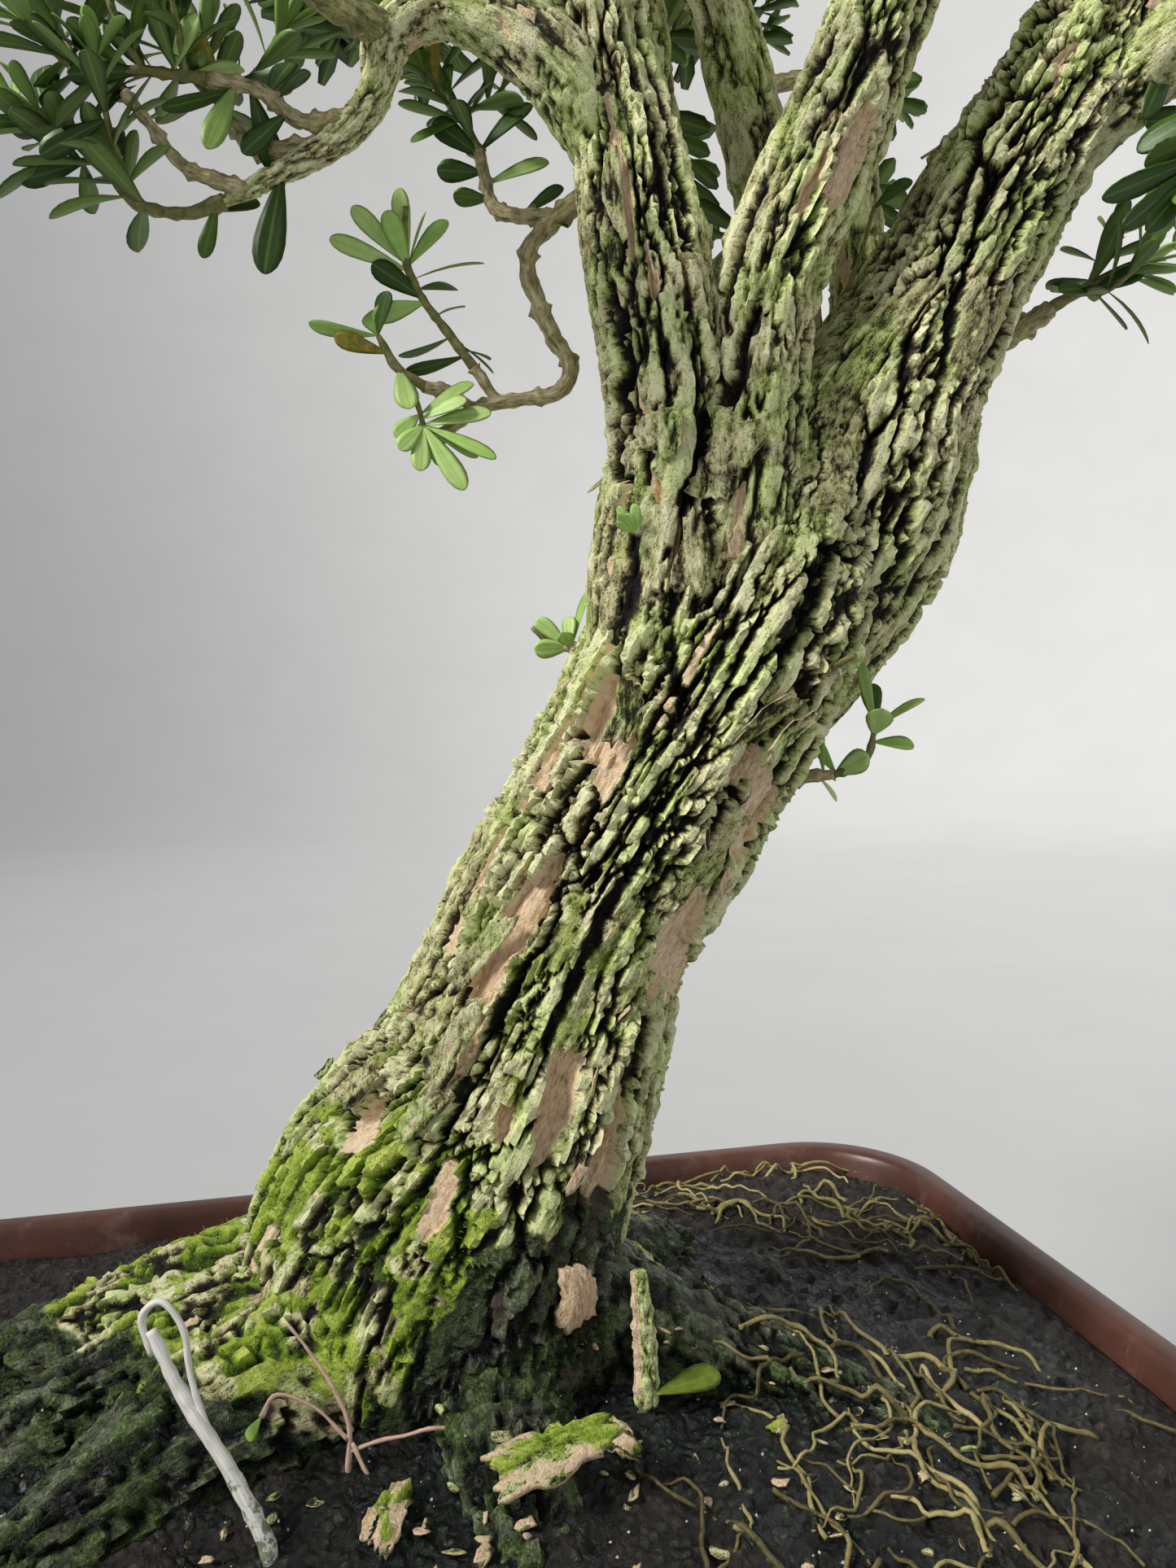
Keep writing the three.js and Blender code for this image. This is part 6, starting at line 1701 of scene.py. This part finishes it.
# the two seed leaves and the fallen leaf, as rows for leaves()
small_leaves = [
    [*sides[0][-1][:3], -0.5, 0, -0.8, 0, -0.4, 0.6, 6.5, 3.2, 0.1, 0.1, 0.4],
    [*sides[1][-1][:3], 0.3, -0.2, -0.6, 0, -0.4, 0.8, 8, 4.6, 0.1, 0.62, 0.3],
    [44.5, -51.5, twig_foot + 5, 0.95, 0.1, 0.14, -0.2, -0.5, 0.8, 19, 7.5, 0.08, 0.7, 0.9842],
]
parts = [leaves(np.array(small_leaves), FINE_LEAF)]
fit_parts("fallen_and_seed_leaves", parts, leaf_finish, "leaf")

# ------------------------------------------------------------------------------
# Feeder roots
# Fine roots that watering has washed bare. They wander over the crust to the right of the
# trunk and in the back corner, arch over each other and dip back into the soil.

# middle x and y of each bed, and its spread
ROOT_BEDS = [[96, -98, 26], [134, -52, 27], [120, 112, 27], [186, 62, 22]]
ROOTS_PER_BED, ROOT_STRIDE = 34, 3.4
ROOTS_WITHIN = np.array([[198], [133]])
MAP_CELL, MAP_CELLS = 2.0, np.array([240, 170])
MAPPED_BARK, GROUND_TOP = 190, 14


def map_cells(x, y):
    """The cells of the ground map in which places lie."""
    cells = (np.array([x, y]).T / MAP_CELL + MAP_CELLS / 2).astype(int)
    return tuple(np.clip(cells, 0, MAP_CELLS - 1).T)


ground_points = np.concatenate([soil_grid, bark_points[bark_points[:, 2] < MAPPED_BARK]])
ground_map = np.full(MAP_CELLS, -1.0)
np.maximum.at(ground_map, map_cells(*ground_points.T[:2]), ground_points[:, 2])


def ground(x, y):
    """Height of the soil or root at a place: the highest point in its cell of a 2 mm map, at most
    14 mm over the plain soil."""
    level = soil_height(x, y)
    return np.clip(ground_map[map_cells(x, y)], level + 0.4, level + GROUND_TOP)


def feeder_skin(wire):
    """Thin washed roots: yellow-brown with olive patches, lighter where they dried."""
    flecks = wire.mark("grain", 1).grain(700, 4)
    colour = (flecks * 0.6 + wire.mark("chance") * 0.5).ramp(
        (0.25, 62, 56, 30), (0.5, 120, 110, 64), (0.75, 170, 158, 104), (0.95, 196, 184, 140)
    )
    roughness = 0.6 + (flecks - 0.5) * 0.3
    return {"Base Color": colour, "Roughness": roughness, "Normal": flecks.bump(0.5, 0.0002)}


def wandering_root(x, y, rng):
    """One root as rows: its heading drifts from step to step, and it rises and dips like two slow
    waves over the ground."""
    count = int(rng.integers(9, 17))
    index = np.arange(count)
    heading = rng.uniform(0, 2 * math.pi) + np.cumsum(rng.normal(0, 0.42, count))
    strides = ROOT_STRIDE * np.stack([np.cos(heading), np.sin(heading)])
    x, y = np.clip([[x], [y]] + np.cumsum(strides, 1), -ROOTS_WITHIN, ROOTS_WITHIN)
    phase, waves = rng.uniform(0, 6), rng.uniform(0.5, 1.0)
    arch = 1.5 * np.sin(waves * index + phase) + rng.uniform(0.2, 1.8)
    arch = np.where(np.minimum(index, index[::-1]) < 2, -0.6, np.maximum(arch, -0.4))
    radius = rng.uniform(0.5, 0.95) * (1 - 0.45 * index / count)
    return np.column_stack([x, y, ground(x, y) + arch + 0.4, radius])


feeder_finish = new_finish("feeder_root", feeder_skin)
for bed, (x, y, spread) in enumerate(ROOT_BEDS):
    rng = np.random.default_rng(840 + bed)
    parts = []
    for k in range(ROOTS_PER_BED):
        rows = wandering_root(x + rng.normal(0, spread), y + 0.8 * rng.normal(0, spread), rng)
        shape = {"sides": 6, "step": 1.9, "joint": 13, "swell": 0.1, "crook": 0.3}
        points, faces, marks = twig_skin(rows, **shape, seed=860 + k)
        parts.append((points, faces, marks | {"chance": np.full(len(points), rng.uniform())}))
    names = f"feeder_roots_{bed + 1}", f"surface_roots_{bed + 1}"
    fit_parts(names[0], parts, feeder_finish, "surface_root", names[1])

# ------------------------------------------------------------------------------
# Chips and grit on the soil
# Flakes of bark and a broken lump of wood that fell on the soil, tan where they broke, and
# white specks of pumice from the potting mix.

# x and y of each chip, its length, width, thickness and heading, and how tan it is
CHIPS = [
    [-26, -72, 17, 8, 3, 1.1, 0.8], [12, -74, 30, 13, 4, 0.2, 0.4],
    [32, -60, 13, 8, 2.5, -0.9, 0.6], [76, -58, 6, 5, 1.6, 0.4, 1],
]
LITTER_FLAKES, GRIT_SPECKS = 120, 420
# x and y between which they lie
LITTER_BED, GRIT_BED = ((-75, 140), (-125, -38)), ((-150, 190), (-130, 60))
for index, (x, y, length, width, thick, heading, tan) in enumerate(CHIPS):
    name = f"bark_chip_{index + 1}"
    middle = np.array([x, y, 500 * sum(corner.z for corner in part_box(name))])
    ahead = np.array([math.cos(heading), math.sin(heading), 0])
    face = unit(np.array([0.1 * math.sin(5 * index), -0.25, 1.0]))
    form = (length, width, thick, -0.15, 0.05, 920 + index, 12, 44, tan)
    points, faces, marks = flake_part(middle, ahead, face, *form)
    mossy = np.clip(0.42 + rougher(points, 4.5, 925 + index, 3) * 1.3, 0, 0.9)
    marks["moss"] = mossy * (points[:, 2] > middle[2] - 1)
    fit_parts(name + "_flake", [(points, faces, marks)], bark_finish, "bark_chip", name)
rng = np.random.default_rng(930)
parts = []
for index in range(LITTER_FLAKES):
    x, y = (rng.uniform(*span) for span in LITTER_BED)
    size = rng.uniform(1.6, 5.5)
    foot = np.array([x, y, ground(x, y) + 0.5])
    face = unit(np.array([rng.normal(0, 0.35), rng.normal(0, 0.35), 1.0]))
    heading = rng.uniform(0, math.pi)
    ahead = np.array([math.cos(heading), math.sin(heading), 0])
    tan = 0.55 * (rng.uniform() < 0.7)
    form = (size, size * 0.6, 0.9, 0.1, 0.05, 940 + index, 3, 8, tan)
    parts.append(flake_part(foot, ahead, face, *form))
lump, face = on_bark(700, 1588)
form = (15, 12, 6, -0.3, 0.02, 990, 12, 40, 0.95)
parts.append(flake_part(lump + face * 2, UPRIGHT - face * face[2], face, *form))
fit_parts("bark_litter", parts, bark_finish, "bark_chip")


def white_grit(wire):
    """Chalky white pumice specks, a few of them stained."""
    tint = wire.place().grain(240, 3)
    colour = tint.ramp((0.35, 150, 148, 140), (0.6, 226, 226, 222))
    return {"Base Color": colour, "Roughness": 0.7 + tint * 0.2}


STONE = np.array([[1, 0, 0], [0, 1, 0], [-1, 0, 0], [0, -1, 0], [0, 0, 1], [0, 0, -1]])
STONE_FACES = [
    [0, 1, 4], [1, 2, 4], [2, 3, 4], [3, 0, 4], [1, 0, 5], [2, 1, 5], [3, 2, 5], [0, 3, 5],
]
rng = np.random.default_rng(960)
x, y = (rng.uniform(*span, GRIT_SPECKS) for span in GRIT_BED)
z = ground(x, y)
centre = np.stack([x, y, z + 0.1], 1)[z < soil_height(x, y) + 12][:, None]
count = len(centre)
sizes = rng.uniform(0.25, 0.65, count)[:, None, None] ** 1.2
points = (STONE * rng.uniform(0.6, 1.3, (count, 6, 1)) * sizes + centre).reshape(-1, 3)
grit_finish = new_finish("white_grit", white_grit)
fit(new_piece("pumice_specks", points, [many(STONE_FACES, count, 6)], grit_finish), "soil")

# ------------------------------------------------------------------------------
# Stage and light
# Not part of the tree: a wide pale floor that rises far away on all sides, one broad soft
# light from high on the left, and an even pale surround that opens the shadows.
FLOOR_SIDES, FLOOR_RINGS = 96, 40
FLOOR_START, FLOOR_REACH, FLOOR_RISE, FLOOR_LEVEL_SHARE = 60, 4200, 3400, 0.55
MAIN_LIGHT, SURROUND, FLOOR_GLOW = 4.5, 0.22, 0.21
LIGHT_SPREAD, LIGHT_DOWN, LIGHT_ROUND = 16, 51, -76
WARM, COOL = (1, 0.97, 0.91), (0.90, 0.94, 1.0, 1)


def pale_floor(wire):
    """Matte pale grey paper."""
    return {
        "Base Color": wire.place().grain(6, 2).ramp((0.3, 158, 159, 160), (0.7, 162, 163, 164)),
        "Roughness": 0.9,
        "Emission Color": (1, 1, 1, 1),
        "Emission Strength": FLOOR_GLOW,
    }


share = np.linspace(0, 1, FLOOR_RINGS)[:, None]
radius = FLOOR_START + FLOOR_REACH * share
rise = np.clip((share - FLOOR_LEVEL_SHARE) / (1 - FLOOR_LEVEL_SHARE), 0, 1) ** 2.2
angle = math.pi / 2 - turns(FLOOR_SIDES)[None]
points = barrel(radius, angle, FLOOR_RISE * rise - 0.4 + 0 * angle).reshape(-1, 3)
faces = drum_faces(FLOOR_RINGS, FLOOR_SIDES)[:2]
new_piece("floor", points, faces, new_finish("pale_paper", pale_floor))

light_data = bpy.data.lights.new("main_light", "SUN")
light_data.energy, light_data.angle = MAIN_LIGHT, math.radians(LIGHT_SPREAD)
light_data.color = WARM
light = bpy.data.objects.new("main_light", light_data)
light.rotation_euler = (math.radians(LIGHT_DOWN), 0, math.radians(LIGHT_ROUND))
bpy.context.scene.collection.objects.link(light)
world = bpy.data.worlds.new("studio")
world.use_nodes = True
background = world.node_tree.nodes["Background"].inputs
background["Color"].default_value = COOL
background["Strength"].default_value = SURROUND
bpy.context.scene.world = world
bpy.context.scene.view_settings.view_transform = "Standard"
